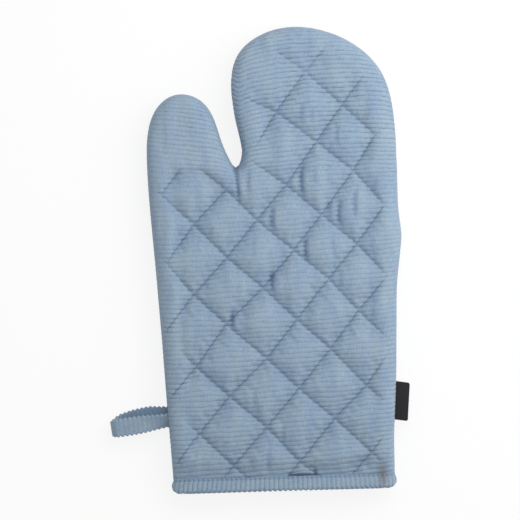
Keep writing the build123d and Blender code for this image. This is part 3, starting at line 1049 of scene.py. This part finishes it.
@dataclass(frozen=True)
class Skin:
    """One face of a layer: how far it stands in from the seam, its height and its turn down to the seam."""

    inset: float
    height: float
    bound_height: float
    turn: float
    quilt_depth: float = 0.0
    wale_depth: float = 0.0
    columns: float = 3.6
    rows: float = 3.6
    rings: int = 6
    cuff_end: float = -49.5 * WALE

    # The grid's reach, the share of the turn that it leaves to the rings, and how these crowd to the seam.
    LEFT, RIGHT, TOP = -80, 100, 162
    RING_SHARE = 0.28
    CROWDING = 1.4
    # How far the corners of the mouth shift up, the wales arch over a puff and sway beside a pucker.
    CURL = 5.4
    ARCH = 2.0
    SWAY = 0.35
    # Depths of a stitched line, of a pucker and of the cloth's lumps, which hang below its full height.
    PINCH = 0.7
    PUCKER = 1.1
    LUMPS, SLACK = 0.75, 0.5
    # Least rise over the seam, and the rounding where the back meets the table.
    LEAST_RISE = 0.15
    TABLE_ROUND = 0.3
    # The painted shade in a line along the binding, darkest about its short fold.
    STRIP_Y, STRIP_WIDTH = -148.6, 0.9
    FOLD_X, FOLD_REACH = 29.5, 10

    def _edge(self, angle: np.ndarray) -> tuple[np.ndarray, np.ndarray]:
        """Depth inside the seam and share of the height, at an angle round the turned edge."""
        return turned_edge(self.inset, self.turn, angle)

    def _angle(self, depth: np.ndarray) -> np.ndarray:
        """Angle round the turned edge for a depth inside the seam."""
        left = np.clip(1 - (depth - self.inset) / self.turn, 0, 1)
        return np.arccos(left ** (TURN_POWER / 2))

    def _taken_up(self, angle: np.ndarray, depth: np.ndarray) -> tuple[np.ndarray, np.ndarray]:
        """Measures the cloth that goes round the turned edge.

        Args:
            angle: each point's angle round the turned edge.
            depth: each point's depth inside the seam.

        Returns:
            Length of cloth from the seam, and how much of it the plan doesn't show.
        """
        round_it = np.linspace(0, math.pi / 2, 400)
        edge_depth, edge_share = self._edge(round_it)
        arc = np.cumsum(np.hypot(np.diff(edge_depth, prepend=edge_depth[0]),
                                 self.height * np.diff(edge_share, prepend=0)))
        from_seam = np.interp(angle, round_it, arc)
        return from_seam, arc[-1] - from_seam - np.maximum(self.inset + self.turn - depth, 0)

    def lay(self, sewing: Sewing, face: Face) -> Surface:
        """Builds the skin: a grid over the middle, and rings from its border round the edge to the seam.

        Args:
            sewing: the seam, the stitching and the cloth's drape.
            face: the side of the mitt.

        Returns:
            The open surface, its faces pointing out of the mitt.
        """
        keep = self.inset + self.RING_SHARE * self.turn
        x = np.arange(self.LEFT, self.RIGHT, self.columns)
        y = np.arange(self.cuff_end, self.TOP, self.rows)
        plan = np.column_stack([c.ravel() for c in np.meshgrid(x, y)])
        depth, outward = sewing.outline.measure(plan)
        number = np.arange(len(plan)).reshape(len(y), len(x))
        corners = (number[:-1, :-1], number[:-1, 1:], number[1:, 1:], number[1:, :-1])
        quads = np.stack(corners, -1).reshape(-1, 4)
        quads = quads[(depth >= keep)[quads].all(1)]
        # Border edges have no partner; those along the mouth stay as they are, the others move to the rings.
        edges = np.vstack([quads[:, [k, (k + 1) % 4]] for k in range(4)])
        paired = np.isin(edges @ (len(plan), 1), edges @ (1, len(plan)))
        side = edges[~paired & (edges >= len(x)).any(1)]
        border = np.unique(side)
        plan[border] += (depth[border] - keep)[:, None] * outward[border]
        depth[border] = keep
        used = np.unique(quads)
        place = np.full(len(plan), -1)
        place[used] = np.arange(len(used))
        plan, depth, outward = plan[used], depth[used], outward[used]
        border, side, faces = place[border], place[side], [place[quads]]
        foot = plan[border] + outward[border] * keep
        start = self._angle(np.array([keep]))[0]
        plans, angles, depths, ring = [plan], [self._angle(depth)], [depth], border
        total = len(plan)
        at_border = np.full(total, -1)
        at_border[border] = np.arange(len(border))
        first, second = at_border[side[:, 0]], at_border[side[:, 1]]
        for k in range(1, self.rings + 1):
            angle = np.full(len(border), start * (1 - k / self.rings) ** self.CROWDING)
            depths.append(self._edge(angle)[0])
            angles.append(angle)
            plans.append(foot - outward[border] * depths[-1][:, None])
            outer = total + np.arange(len(border))
            faces.append(np.column_stack([ring[second], ring[first], outer[first], outer[second]]))
            ring = outer
            total += len(border)
        outward = np.vstack([outward] + [outward[border]] * self.rings)
        surface = self.raised(np.vstack(plans), np.concatenate(angles), np.concatenate(depths), outward,
                              sewing, face)
        surface.faces = [tuple(corner) for corner in np.vstack(faces).tolist()]
        return surface.turned() if face is Face.BACK else surface

    def raised(self, plan: np.ndarray, angle: np.ndarray, depth: np.ndarray, outward: np.ndarray,
               sewing: Sewing, face: Face) -> Surface:
        """Raises points of the flat pattern to where they lie on the mitt.

        Args:
            plan: the points of the straight pattern.
            angle: each point's angle round the turned edge, a quarter turn where it is flat.
            depth: each point's depth inside the seam.
            outward: the outward direction of the seam nearest to each point.
            sewing: the seam, the stitching and the cloth's drape.
            face: the side of the mitt.

        Returns:
            A surface without faces.
        """
        quilting, crumple = sewing.quilting, sewing.crumple
        level = np.zeros(len(plan))
        share = self._edge(angle)[1]
        from_seam, spare = self._taken_up(angle, depth)
        curl = self.CURL * curled(from_seam) * (1 - above_cuff(2.5, 13, plan))
        lay = tilted(plan + np.column_stack([level, curl]))
        # What the stitching holds, and the puffs between its lines.
        a, b = quilting.locate(lay)
        puff = quilting.read(a, b)
        held = quilting.stitched(lay, depth, quilting.HELD) * above_cuff(7, 20, plan)
        sewn = np.column_stack([quilting.stitched(lay, depth, margins) for margins in quilting.MARGINS])
        sewn *= above_cuff(8.5, 11.5, plan)[:, None]
        # Wales are counted up the cloth, and each line of stitching steps over them.
        cloth = plan + outward * spare[:, None] - puff[:, :2] * held[:, None]
        up = (a % 1.0 - b % 1.0 + 1) / 2
        arch = self.ARCH * np.clip(puff[:, 2], 0, 1) * held * smooth(0.35, 1.0, up)
        count = (cloth[:, 1] - crumple.wale_lift(cloth) - arch) / WALE
        ridge = wale_ridge(count)
        a, b = quilting.jagged(a, b, count)
        width = (0.55 + 0.9 * (1 - ridge))[:, None]
        pinch = (bell(quilting.line_distance(a, b), width) * sewn).max(1)
        worn = crumple.rubbed_flat(lay)
        sway = np.column_stack([self.SWAY * np.sin(2 * np.pi * count + 1.0), level])
        dent = crumple.dent(lay + sway) * (face is Face.FRONT)
        bulge = -self.quilt_depth * (1 - puff[:, 2]) * held
        if self.wale_depth:
            bulge += self.wale_depth * (ridge - 1) * (1 - worn) - self.PINCH * pinch
        lumps = self.LUMPS * crumple.drape(lay) - self.SLACK - self.PUCKER * dent
        bulge += lumps * share * above_cuff(8, 14, plan)
        # The bulge goes along the surface's own direction, outward at the seam and upward inside.
        lean_out = np.cos(angle) ** (2 - 2 / TURN_POWER) / self.turn
        lean_up = np.sin(angle) ** (2 - 2 / TURN_POWER) / self.height
        long = np.hypot(lean_out, lean_up)
        height = self.bound_height + (self.height - self.bound_height) * above_cuff(8, 26, plan)
        rise = np.maximum(share * height + bulge * lean_up / long, self.LEAST_RISE)
        z = SEAM_Z + face.value * rise
        if face is Face.BACK:
            z = (z + np.sqrt(z ** 2 + self.TABLE_ROUND ** 2)) / 2
        points = np.column_stack([lay + outward * (bulge * lean_out / long)[:, None], z])
        # Painted shade: in the creases of the puckers and folds, on the low parts of the puffs beside the
        # stitching, and in a line along the binding.
        crease_shade = np.clip((dent - 0.2) * (1.1 - 0.35 * ridge), 0, 0.8)
        painted_strip_shade = bell(plan[:, 1] - self.STRIP_Y, self.STRIP_WIDTH)
        painted_strip_shade *= 0.45 + 0.75 * bell(lay[:, 0] - self.FOLD_X, self.FOLD_REACH, 4)
        values = {
            "cloth": np.column_stack([cloth[:, 0], count]), "quilt": np.column_stack([a, b]), "reach": sewn,
            "stain": crumple.stain(lay), "rubbed_flat": worn,
            "hollow": np.clip(crease_shade + 0.25 * held * (1 - puff[:, 2]) + painted_strip_shade, 0, 1.4),
        }
        return Surface(points, values, [])

    def points_at(self, lay: np.ndarray, sewing: Sewing, face: Face) -> np.ndarray:
        """Finds points of the skin.

        Args:
            lay: places of the plan, as the mitt lies.
            sewing: the seam, the stitching and the cloth's drape.
            face: the side of the mitt.

        Returns:
            The points of the skin at these places.
        """
        plan = 2 * lay - tilted(lay)
        depth, outward = sewing.outline.measure(plan)
        return self.raised(plan, self._angle(depth), depth, outward, sewing, face).points


@dataclass
class Panel:
    """One half of the mitt: quilted corduroy shell, wadding and lining."""

    face: Face
    sewing: Sewing
    corduroy: bpy.types.Material
    wadding: bpy.types.Material
    lining: bpy.types.Material
    columns: float
    shell_inside: Skin = Skin(1.2, 11.9, 7.0, 16.8, 4.3, columns=1.9, rows=1.6)
    wadding_outside: Skin = Skin(1.4, 11.7, 6.8, 16.6, 4.3, columns=1.9, rows=1.6)
    wadding_inside: Skin = Skin(3.3, 6.2, 6.2, 3.0)
    lining_outside: Skin = Skin(3.5, 6.0, 6.0, 3.0)
    lining_inside: Skin = Skin(4.1, 5.4, 5.4, 3.0)
    stitch_from: tuple[float, float] = (-85, CUFF_Y + 12)
    stitch_to: tuple[float, float] = (100, 165)
    stitch_step: float = 0.01
    shortest_run: int = 12

    @property
    def shell_outside(self) -> Skin:
        """The ribbed face of the shell."""
        return Skin(0.0, 13.5, 8.1, 18.0, 3.5, 0.45, self.columns, WALE / 6, 13)

    def _layer(self, name: str, outside: Skin, inside: Skin) -> bpy.types.Object:
        """Makes one closed layer from its outer and its inner skin."""
        outer = outside.lay(self.sewing, self.face)
        return outer.lined(inside.lay(self.sewing, self.face)).to_object(name)

    def build(self) -> None:
        """Builds and dresses the three layers."""
        side = self.face.name.lower()
        shell = self._layer(f"{side}_quilted_shell", self.shell_outside, self.shell_inside)
        dress(shell, self.corduroy, "corduroy", f"{side}_shell")
        wadding = self._layer(f"{side}_wadding", self.wadding_outside, self.wadding_inside)
        dress(wadding, self.wadding, "batting", f"{side}_batting")
        lining = self._layer(f"{side}_pocket_lining", self.lining_outside, self.lining_inside)
        dress(lining, self.lining, "lining", f"{side}_lining")
        for layer in (shell, wadding, lining):
            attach(layer, "mitt")

    def quilting_runs(self) -> list[np.ndarray]:
        """The lines of stitching, cut to where they are sewn.

        Returns:
            Points along each stretch, in millimetres.
        """
        quilting, runs = self.sewing.quilting, []
        across = np.arange(quilting.LOW, quilting.HIGH, self.stitch_step)
        for whole in range(quilting.LOW, quilting.HIGH + 1):
            level = np.full(len(across), whole)
            for a, b, margins in zip((level, across), (across, level), quilting.MARGINS):
                lay = quilting.place(a, b)
                lay = lay[((lay > self.stitch_from) & (lay < self.stitch_to)).all(1)]
                if len(lay) < self.shortest_run:
                    continue
                depth, _ = self.sewing.outline.measure(2 * lay - tilted(lay))
                sewn = (depth > 0) & (quilting.stitched(lay, depth, margins) > 0.5)
                lifted = self.shell_outside.points_at(lay, self.sewing, self.face)
                ends = np.flatnonzero(np.diff(np.concatenate([[0], sewn.astype(int), [0]])))
                runs += [lifted[i:j] for i, j in zip(ends[::2], ends[1::2]) if j - i > self.shortest_run]
        return runs


# The cuff, the loop, the tab and the thread


@dataclass
class CuffBinding:
    """The strip folded over the edge of the mouth, with its wales running across it.

    Outside and inside are the inset, half height and turn of the edge of the flattened tube it forms.
    """

    material: bpy.types.Material
    left_x: float = -59.3
    right_x: float = 92.7
    top_y: float = -149.4
    fold_y: float = -156.9
    inner_top_y: float = -150.6
    outside: tuple[float, float, float] = (-1.3, 9.6, 18.0)
    inside: tuple[float, float, float] = (5.5, 4.0, 3.0)
    thickness: float = 1.1
    wale: float = 3.3
    wale_depth: float = 0.5
    frill: float = 1.2
    top_scallop: float = 0.8
    top_tuck: float = 1.2
    stitch_drop: float = 1.2
    stitch_width: float = 0.7
    stitch_dip: float = 0.35
    corner_rise: float = 4.6
    step: float = 0.41
    front_steps: int = 12
    fold_steps: int = 11
    back_steps: int = 9

    def _round(self, setting: np.ndarray, angle: np.ndarray, across: np.ndarray,
               side: np.ndarray) -> np.ndarray:
        """Points of the flattened tube, in X and Z.

        Args:
            setting: inset, half height and turn of the edge, in the last axis.
            angle: angle round the turned edge.
            across: 0 at the left edge, 1 at the right.
            side: 1 on the front, -1 on the back.

        Returns:
            X and Z in the last axis.
        """
        inset, height, turn = np.moveaxis(setting, -1, 0)
        reach, share = turned_edge(inset, turn, angle)
        x = (1 - across) * (self.left_x + reach) + across * (self.right_x - reach)
        return np.stack([x, SEAM_Z + side * height * share], -1)

    def _stations(self) -> tuple[np.ndarray, np.ndarray, np.ndarray, np.ndarray, float]:
        """Places round the mouth at even steps.

        Returns:
            Angle, place across, side and running length at each, and the whole length.
        """
        turn, flat = np.linspace(0, math.pi / 2, 200), np.linspace(0, 1, 400)
        half_angle = np.concatenate([turn, np.full(len(flat), math.pi / 2), turn[::-1]])
        half_across = np.concatenate([np.zeros(len(turn)), flat, np.ones(len(turn))])
        half = len(half_angle)
        angle = np.tile(half_angle, 2)
        across = np.concatenate([half_across, half_across[::-1]])
        side = np.repeat((1.0, -1.0), half)
        setting = np.broadcast_to(np.array(self.outside), (2 * half, 3))
        length = run_length(self._round(setting, angle, across, side))
        where = np.linspace(0, length[-1], int(length[-1] / self.step), endpoint=False)
        number = np.arange(2 * half)
        index = np.interp(where, length, number)
        angle, across = (np.interp(index, number, table) for table in (angle, across))
        return angle, across, np.where(index < half - 0.5, 1.0, -1.0), where, length[-1]

    def _section(self) -> tuple[np.ndarray, np.ndarray, np.ndarray, np.ndarray, np.ndarray]:
        """The strip's cross-section, a closed run round its cloth.

        Returns:
            At each point, Y, tube setting, the way that the cloth faces, share of the pile and length across.
        """
        outer, inner = np.array(self.outside), np.array(self.inside)
        middle, half = (outer + inner) / 2, (outer - inner) / 2
        radius = (outer[1] - inner[1]) / 2
        fold = np.linspace(0, math.pi, self.fold_steps)
        tuck = self.top_tuck * np.linspace(1, 0, self.front_steps) ** 2
        parts = []
        for shrink, pile in ((0.0, 1.0), (self.thickness, 0.0)):
            y = np.concatenate([np.linspace(self.top_y, self.fold_y, self.front_steps, endpoint=False),
                                self.fold_y - 0.95 * (radius - shrink) * np.sin(fold),
                                np.linspace(self.fold_y, self.inner_top_y, self.back_steps)[1:]])
            way = np.concatenate([np.zeros(self.front_steps), fold, np.full(self.back_steps - 1, math.pi)])
            setting = middle + np.cos(way)[:, None] * half * ((radius - shrink) / radius)
            setting[:self.front_steps, 0] += tuck
            parts.append((y, setting, way, np.full(len(y), pile)))
        y, setting, way, pile = (np.concatenate([one, two[::-1]]) for one, two in zip(*parts))
        pile[[0, len(parts[0][0]) - 1]] = 0.4
        return y, setting, way, pile, run_length(np.column_stack([y, setting[:, 1]]))

    def build(self) -> bpy.types.Object:
        """Builds and dresses the binding.

        Returns:
            The object.
        """
        angle, across, side, where, length = self._stations()
        y, setting, way, pile, width = self._section()
        count = where / length * round(length / self.wale)
        on_front = way == 0
        sewn = bell(y - self.top_y + self.stitch_drop, self.stitch_width) * on_front
        lobe = scallops(count)[:, None]
        lift = self.wale_depth * (wale_ridge(count)[:, None] - 1) * pile - self.stitch_dip * sewn
        top = smooth(self.top_y - self.stitch_drop, self.top_y, y) * on_front
        spread = np.broadcast_to(setting, (len(where), *setting.shape)).copy()
        spread[..., 0] -= lift * np.cos(way)
        spread[..., 1] += lift * np.cos(way)
        ring_y = y - self.frill * lobe * pile * np.sin(way) + self.top_scallop * lobe * top
        from_seam = np.abs(np.mod(where + length / 4, length / 2) - length / 4)
        rise = self.corner_rise * curled(from_seam)
        ring_y = ring_y + rise[:, None] * smooth(self.top_y - 2, self.fold_y - 2, y)
        loop = self._round(spread, angle[:, None], across[:, None], side[:, None])
        lay = tilted(np.column_stack([loop[..., 0].ravel(), ring_y.ravel()])).reshape(*ring_y.shape, 2)
        cloth = np.stack(np.broadcast_arrays(width, count[:, None]), -1)
        surface = sweep(np.concatenate([lay, loop[..., 1:]], -1), cloth, closed=True)
        # Painted shade in the dip of the stitched line below the strip's upper edge.
        surface.values["hollow"] = np.clip(0.5 * np.tile(sewn, len(where)), 0, 1)
        surface.values["stain"] = Crumple.stain(surface.points[:, :2]) * (surface.points[:, 2] > SEAM_Z)
        binding = surface.to_object("cuff_binding_strip")
        dress(binding, self.material, "corduroy", "cuff_binding")
        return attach(binding, "mitt")

    def stitch_run(self, face: Face) -> np.ndarray:
        """The line of stitching along the strip's upper edge, on one side.

        Args:
            face: the side of the mitt.

        Returns:
            Points in order, in millimetres.
        """
        x = np.arange(self.left_x + 8, self.right_x - 8, 0.3)
        lay = tilted(np.column_stack([x, np.full(len(x), self.top_y - self.stitch_drop)]))
        return np.column_stack([lay, np.full(len(x), SEAM_Z + face.value * (self.outside[1] - 0.75))])


@dataclass(frozen=True)
class Strap:
    """A flat strap that runs along a line, with any wales across it; a wale of 0 leaves it smooth."""

    width: float
    thickness: float
    wale: float = 0.0
    wale_depth: float = 0.0
    scallop: float = 0.0

    def _section(self) -> tuple[np.ndarray, np.ndarray, np.ndarray]:
        """The strap's cross-section, a closed run.

        Returns:
            Place across, place through and length round the strap, at each point.
        """
        half, through = self.width / 2, self.thickness / 2
        flat = np.linspace(-half + through, half - through, 11)
        cap = np.linspace(math.pi / 2, -math.pi / 2, 7)[1:-1]
        end = half - through + through * np.cos(cap)
        w = np.concatenate([flat, end, flat[::-1], -end])
        n = np.concatenate([np.full(len(flat), through), through * np.sin(cap)])
        n = np.concatenate([n, -n])
        return w, n, run_length(np.column_stack([w, n]))

    def along(self, line: np.ndarray, broad: np.ndarray, narrowing: np.ndarray) -> Surface:
        """Sweeps the strap.

        Args:
            line: its middle line.
            broad: direction of its width at each point.
            narrowing: share of its width at each point.

        Returns:
            The closed surface.
        """
        up = np.cross(np.gradient(line, axis=0), broad)
        up /= np.linalg.norm(up, axis=1)[:, None]
        w, n, around = self._section()
        length = run_length(line)
        count = length / self.wale if self.wale else length
        dip = (wale_ridge(count) - 1)[:, None]
        grow_w = w * narrowing[:, None] * (1 + scallops(count)[:, None] * self.scallop / (self.width / 2))
        grow_n = n * (1 + dip * self.wale_depth / (self.thickness / 2))
        rings = line[:, None] + broad[:, None] * grow_w[..., None] + up[:, None] * grow_n[..., None]
        cloth = np.stack(np.broadcast_arrays(around, count[:, None]), -1)
        return sweep(rings, cloth, closed=False)


def out_of_seam(base: tuple[float, float], heading: tuple[float, float], reach: float) -> Vector:
    """A point in metres at a reach along the line on which a strap leaves the seam."""
    return Vector((*(np.array(base) + reach * np.array(heading)), SEAM_Z)) * MM


@dataclass
class HangingLoop:
    """The corduroy strap folded back on itself and sewn into the left side seam."""

    material: bpy.types.Material
    base: tuple[float, float] = (-63.0, -110.3)
    heading: tuple[float, float] = (-0.988, -0.154)
    strap: Strap = Strap(13.0, 2.3, 3.2, 0.3, 1.25)
    root: float = -1.0
    root_gap: float = 1.2
    fold_out: float = 33.6
    fold_drop: float = 6.0
    fold_radius: float = 5.2
    step: float = 0.32
    crown: float = 0.8
    root_twist: float = 34.0
    root_reach: float = 26.0
    root_narrowing: float = 0.1
    tip_narrowing: float = 0.16
    lower_drift: tuple[tuple[float, float], ...] = ((0, 3.4), (12, 5.3), (24, 4.5), (34, 2.5), (39, 0.0))
    bend: tuple[float, float] = (-1.5, 5.0)

    def _side_view(self) -> np.ndarray:
        """The strap's line seen from the side: out, round the fold and back.

        Returns:
            Distance out of the seam and height over it, at points in order.
        """
        lean = math.atan2(self.fold_drop, self.fold_out)
        flare = math.asin((self.fold_radius - self.root_gap) / math.hypot(self.fold_out, self.fold_drop))
        turn = np.linspace(math.pi / 2 - lean + flare, -math.pi / 2 - lean - flare, 40)
        fold = np.column_stack([self.fold_out + self.fold_radius * np.cos(turn),
                                -self.fold_drop + self.fold_radius * np.sin(turn)])
        upper = np.linspace((self.root, self.root_gap), fold[0], 70)[:-1]
        lower = np.linspace(fold[-1], (self.root, -self.root_gap), 70)[1:]
        return np.vstack([upper, fold, lower])

    def build(self) -> bpy.types.Object:
        """Builds and dresses the loop.

        Returns:
            The object.
        """
        side = self._side_view()
        length = run_length(side)
        even = np.arange(0, length[-1], self.step)
        out, rise = (np.interp(even, length, side[:, k]) for k in (0, 1))
        share = even / length[-1]
        on_top = 1 - smooth(0.42, 0.58, share)
        root = (1 - smooth(0, self.root_reach, out)) * on_top
        drift = np.interp(out, *zip(*self.lower_drift)) * (1 - on_top) + 0.2 * root
        drift = np.convolve(np.pad(drift, 8, "edge"), np.ones(17) / 17, "valid")
        rise = rise + self.crown * on_top * np.sin(np.clip(out / self.fold_out, 0, 1) * math.pi)
        heading = np.array(self.heading)
        broad = np.array((heading[1], -heading[0]))
        middle = np.array(self.base) + out[:, None] * heading + drift[:, None] * broad
        twist = np.radians(self.root_twist) * root
        across = np.column_stack([np.cos(twist)[:, None] * broad, np.sin(twist)])
        narrowing = 1 - self.root_narrowing * root - self.tip_narrowing * bell(share - 0.5, 0.05)
        surface = self.strap.along(np.column_stack([middle, SEAM_Z + rise]), across, narrowing)
        around = len(surface.points) // len(out)
        # Painted shadow on the lower leg, under the upper one.
        surface.values["hollow"] = np.repeat(0.55 * (1 - on_top) * smooth(0.55, 0.65, share), around)
        # The painted groove shade is weaker on the upper leg and stronger on the lower one.
        surface.values["rubbed_flat"] = np.repeat(0.8 * on_top - 0.2, around)
        loop = surface.to_object("hanging_loop_strap")
        dress(loop, self.material, "corduroy", "hanging_loop")
        start, end = (out_of_seam(self.base, self.heading, reach) for reach in self.bend)
        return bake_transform(loop)


@dataclass
class BlankTab:
    """The plain black ribbon folded double and caught in the right side seam."""

    material: bpy.types.Material
    base: tuple[float, float] = (93.3, -96.4)
    heading: tuple[float, float] = (0.991, -0.13)
    broad: tuple[float, float] = (0.053, 0.9986)
    strap: Strap = Strap(26.4, 0.42)
    root: float = -0.8
    reach: float = 8.6
    gap: float = 0.3
    droop: float = 0.35
    corner: float = 1.1
    bend: tuple[float, float] = (-0.8, 2.5)

    def build(self) -> bpy.types.Object:
        """Builds and dresses the tab.

        Returns:
            The object.
        """
        turn = np.linspace(math.pi / 2, -math.pi / 2, 9)
        leg = np.linspace(self.root, self.reach, 24)[:-1]
        out = np.concatenate([leg, self.reach + self.gap * np.cos(turn), leg[::-1]])
        level = np.full(len(leg), self.gap)
        rise = np.concatenate([level, self.gap * np.sin(turn), -level])
        rise = rise - self.droop * np.clip(out / self.reach, 0, 1) ** 2
        line = np.column_stack([np.array(self.base) + out[:, None] * self.heading, SEAM_Z + rise])
        across = np.broadcast_to(np.append(self.broad, 0.0), (len(line), 3))
        end = np.clip((out - self.reach - self.gap + self.corner) / self.corner, 0, 1)
        narrowing = 1 - 2 * self.corner / self.strap.width * (1 - np.sqrt(1 - end ** 2))
        tab = self.strap.along(line, across, narrowing).to_object("blank_ribbon_tab")
        dress(tab, self.material, "ribbon", "side_tab")
        start, end = (out_of_seam(self.base, self.heading, reach) for reach in self.bend)
        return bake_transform(tab)


@dataclass
class Stitcher:
    """Sews rows of stitches: one is modelled and copied along each run."""

    material: bpy.types.Material
    bluntness: float = 0.6
    first: float = 0.2

    def __post_init__(self) -> None:
        """Models the stitch, one unit in half length and radius."""
        bpy.ops.object.select_all(action="DESELECT")
        bpy.ops.mesh.primitive_uv_sphere_add(segments=6, ring_count=6, radius=1.0,
                                             rotation=(0, math.pi / 2, 0))
        stitch = bpy.context.object
        bpy.ops.object.transform_apply(location=True, rotation=True, scale=True)
        self.points = np.array([vertex.co for vertex in stitch.data.vertices])
        self.points[:, 0] = np.sign(self.points[:, 0]) * np.abs(self.points[:, 0]) ** self.bluntness
        self.faces = sorted(tuple(face.vertices) for face in stitch.data.polygons)
        self.spin = np.abs(np.arctan2(self.points[:, 2], self.points[:, 1]) / (2 * math.pi))
        bpy.data.objects.remove(stitch)

    def sew(self, name: str, runs: list[np.ndarray], sort: Stitch, *nodes: str) -> bpy.types.Object:
        """Sews all the runs into one piece.

        Args:
            name: the piece's name.
            runs: points along each run, in millimetres, close together.
            sort: the sort of stitch.
            nodes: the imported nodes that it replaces.

        Returns:
            The object.
        """
        length, gap, radius = sort.value
        points, cloth, faces = [], [], []
        for run in runs:
            along = run_length(run)
            for start in np.arange(self.first, along[-1] - length, length + gap):
                head, tail = (np.array([np.interp(at, along, axis) for axis in run.T])
                              for at in (start, start + length))
                direction = (tail - head) / np.linalg.norm(tail - head)
                level = np.cross((0, 0, 1), direction)
                level /= np.linalg.norm(level)
                axes = np.array([direction * length / 2, level * radius, np.cross(direction, level) * radius])
                offset = len(points) * len(self.points)
                points.append(self.points @ axes + (head + tail) / 2)
                cloth.append(np.column_stack([self.points[:, 0] * length / 2 + start, self.spin]))
                faces += [tuple(v + offset for v in face) for face in self.faces]
        surface = Surface(np.vstack(points), {"cloth": np.vstack(cloth)}, faces)
        piece = dress(surface.to_object(name), self.material, "thread", *nodes)
        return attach(piece, "mitt")


# The studio


@dataclass(frozen=True)
class Studio:
    """White floor, two soft lamps, an even sky and a camera straight above the mitt, in metres and watts."""

    floor_size: float = 6.0
    floor_z: float = -0.0004
    floor_glow: float = 0.85
    paper: Colour = (0.9, 0.9, 0.9)
    white: Colour = (1.0, 1.0, 1.0)
    sky: float = 0.545
    lamps: tuple[tuple[str, Colour, float, float], ...] = (
        ("key_right", (0.55, 0.14, 0.43), 0.55, 1.9),
        ("soft_top", (0.16, 0.27, 0.5), 0.45, 1.7),
    )
    view_width: float = 0.35745
    lens: float = 300.0
    sensor: float = 36.0
    far: float = 20.0

    @staticmethod
    def _seen_directly(graph: Graph) -> Value:
        """A mask that is 1 for what the camera sees, also in a mirror or through glass."""
        camera, glossy, through = (graph.node("ShaderNodeLightPath", {}, {}, f"Is {kind} Ray")
                                   for kind in ("Camera", "Glossy", "Transmission"))
        return (camera + glossy + through).clamped()

    def _lay_floor(self) -> None:
        """Lays the floor, which the camera sees nearly white."""
        bpy.ops.object.select_all(action="DESELECT")
        bpy.ops.mesh.primitive_plane_add(size=self.floor_size, location=(0, 0, self.floor_z))
        floor = bpy.context.object
        floor.name = "studio_floor"
        bpy.ops.object.transform_apply(location=True, rotation=True, scale=True)
        material, graph = new_material("studio_white")
        paper = graph.node("ShaderNodeBsdfDiffuse", {}, {"Color": self.paper})
        glow = graph.node("ShaderNodeEmission", {}, {"Color": self.white, "Strength": 1.0})
        share = self._seen_directly(graph) * self.floor_glow
        surface = graph.node("ShaderNodeMixShader", {}, {0: share, 1: paper, 2: glow})
        graph.node("ShaderNodeOutputMaterial", {}, {"Surface": surface})
        floor.data.materials.append(material)

    def _light(self) -> None:
        """Sets the sky, which the camera sees white, and the lamps."""
        scene = bpy.context.scene
        scene.world = scene.world or bpy.data.worlds.new("studio")
        scene.world.use_nodes = True
        air = Graph(scene.world.node_tree)
        ambient, backdrop = (air.node("ShaderNodeBackground", {}, {"Color": self.white, "Strength": strength})
                             for strength in (self.sky, 1.0))
        sky = air.node("ShaderNodeMixShader", {}, {0: self._seen_directly(air), 1: ambient, 2: backdrop})
        air.node("ShaderNodeOutputWorld", {}, {"Surface": sky})
        for name, place, size, power in self.lamps:
            lamp = bpy.data.lights.new(name, "AREA")
            lamp.energy = power
            lamp.size = size
            holder = bpy.data.objects.new(name, lamp)
            holder.location = place
            holder.rotation_euler = (-Vector(place)).to_track_quat("-Z", "Y").to_euler()
            scene.collection.objects.link(holder)

    def _aim_camera(self) -> None:
        """Hangs the camera over the mitt and sets the plain view."""
        scene = bpy.context.scene
        lens = bpy.data.cameras.new("camera")
        lens.lens = self.lens
        lens.sensor_width = self.sensor
        lens.clip_end = self.far
        scene.camera = bpy.data.objects.new("camera", lens)
        scene.camera.location = (0.0, 0.0, SEAM_Z * MM + self.view_width * self.lens / self.sensor)
        scene.collection.objects.link(scene.camera)
        scene.view_settings.view_transform = "Standard"

    def build(self) -> None:
        """Sets up the whole studio."""
        self._lay_floor()
        self._light()
        self._aim_camera()


def seam_run(outline: Outline, inset: float = 0.3, start: float = 11.0) -> np.ndarray:
    """The line of the side seam's stitches.

    Args:
        outline: the side seam.
        inset: how far inside it the stitches lie.
        start: how far above the shells' end they start.

    Returns:
        Points in order, in millimetres.
    """
    inner = (outline.line - inset * outline.outward)[outline.line[:, 1] > CUFF_Y + start]
    return np.column_stack([tilted(inner), np.full(len(inner), SEAM_Z)])


def main() -> None:
    """Builds every piece in order and reports it."""
    logging.basicConfig(level=logging.INFO, format="%(message)s")
    Studio().build()
    sewing = Sewing(Outline(), Quilting(), Crumple())
    corduroy = CorduroyFinish("blue_corduroy").material()
    wadding = WaddingFinish("cotton_wadding").material()
    lining = WeaveFinish("lining_weave", (0.66, 0.69, 0.72), (0.5, 0.54, 0.58), 1.6, 0.0002).material()
    ribbon = WeaveFinish("black_ribbon", (0.028, 0.026, 0.029), (0.01, 0.009, 0.011), 2.2, 0.00015).material()
    stitcher = Stitcher(ThreadFinish("sewing_thread").material())
    binding = CuffBinding(corduroy)
    binding.build()
    for face, columns in ((Face.FRONT, 0.9), (Face.BACK, 1.5)):
        panel = Panel(face, sewing, corduroy, wadding, lining, columns)
        panel.build()
        side = face.name.lower()
        stitcher.sew(f"{side}_quilting_stitches", panel.quilting_runs(), Stitch.QUILTING,
                     f"{side}_quilting_thread")
    stitcher.sew("side_seam_stitches", [seam_run(sewing.outline)], Stitch.SIDE_SEAM, "side_seam_thread")
    binding_runs = [binding.stitch_run(face) for face in Face]
    stitcher.sew("binding_stitches", binding_runs, Stitch.BINDING, "binding_thread")
    HangingLoop(corduroy).build()
    BlankTab(ribbon).build()


if __name__ == "__main__":
    main()
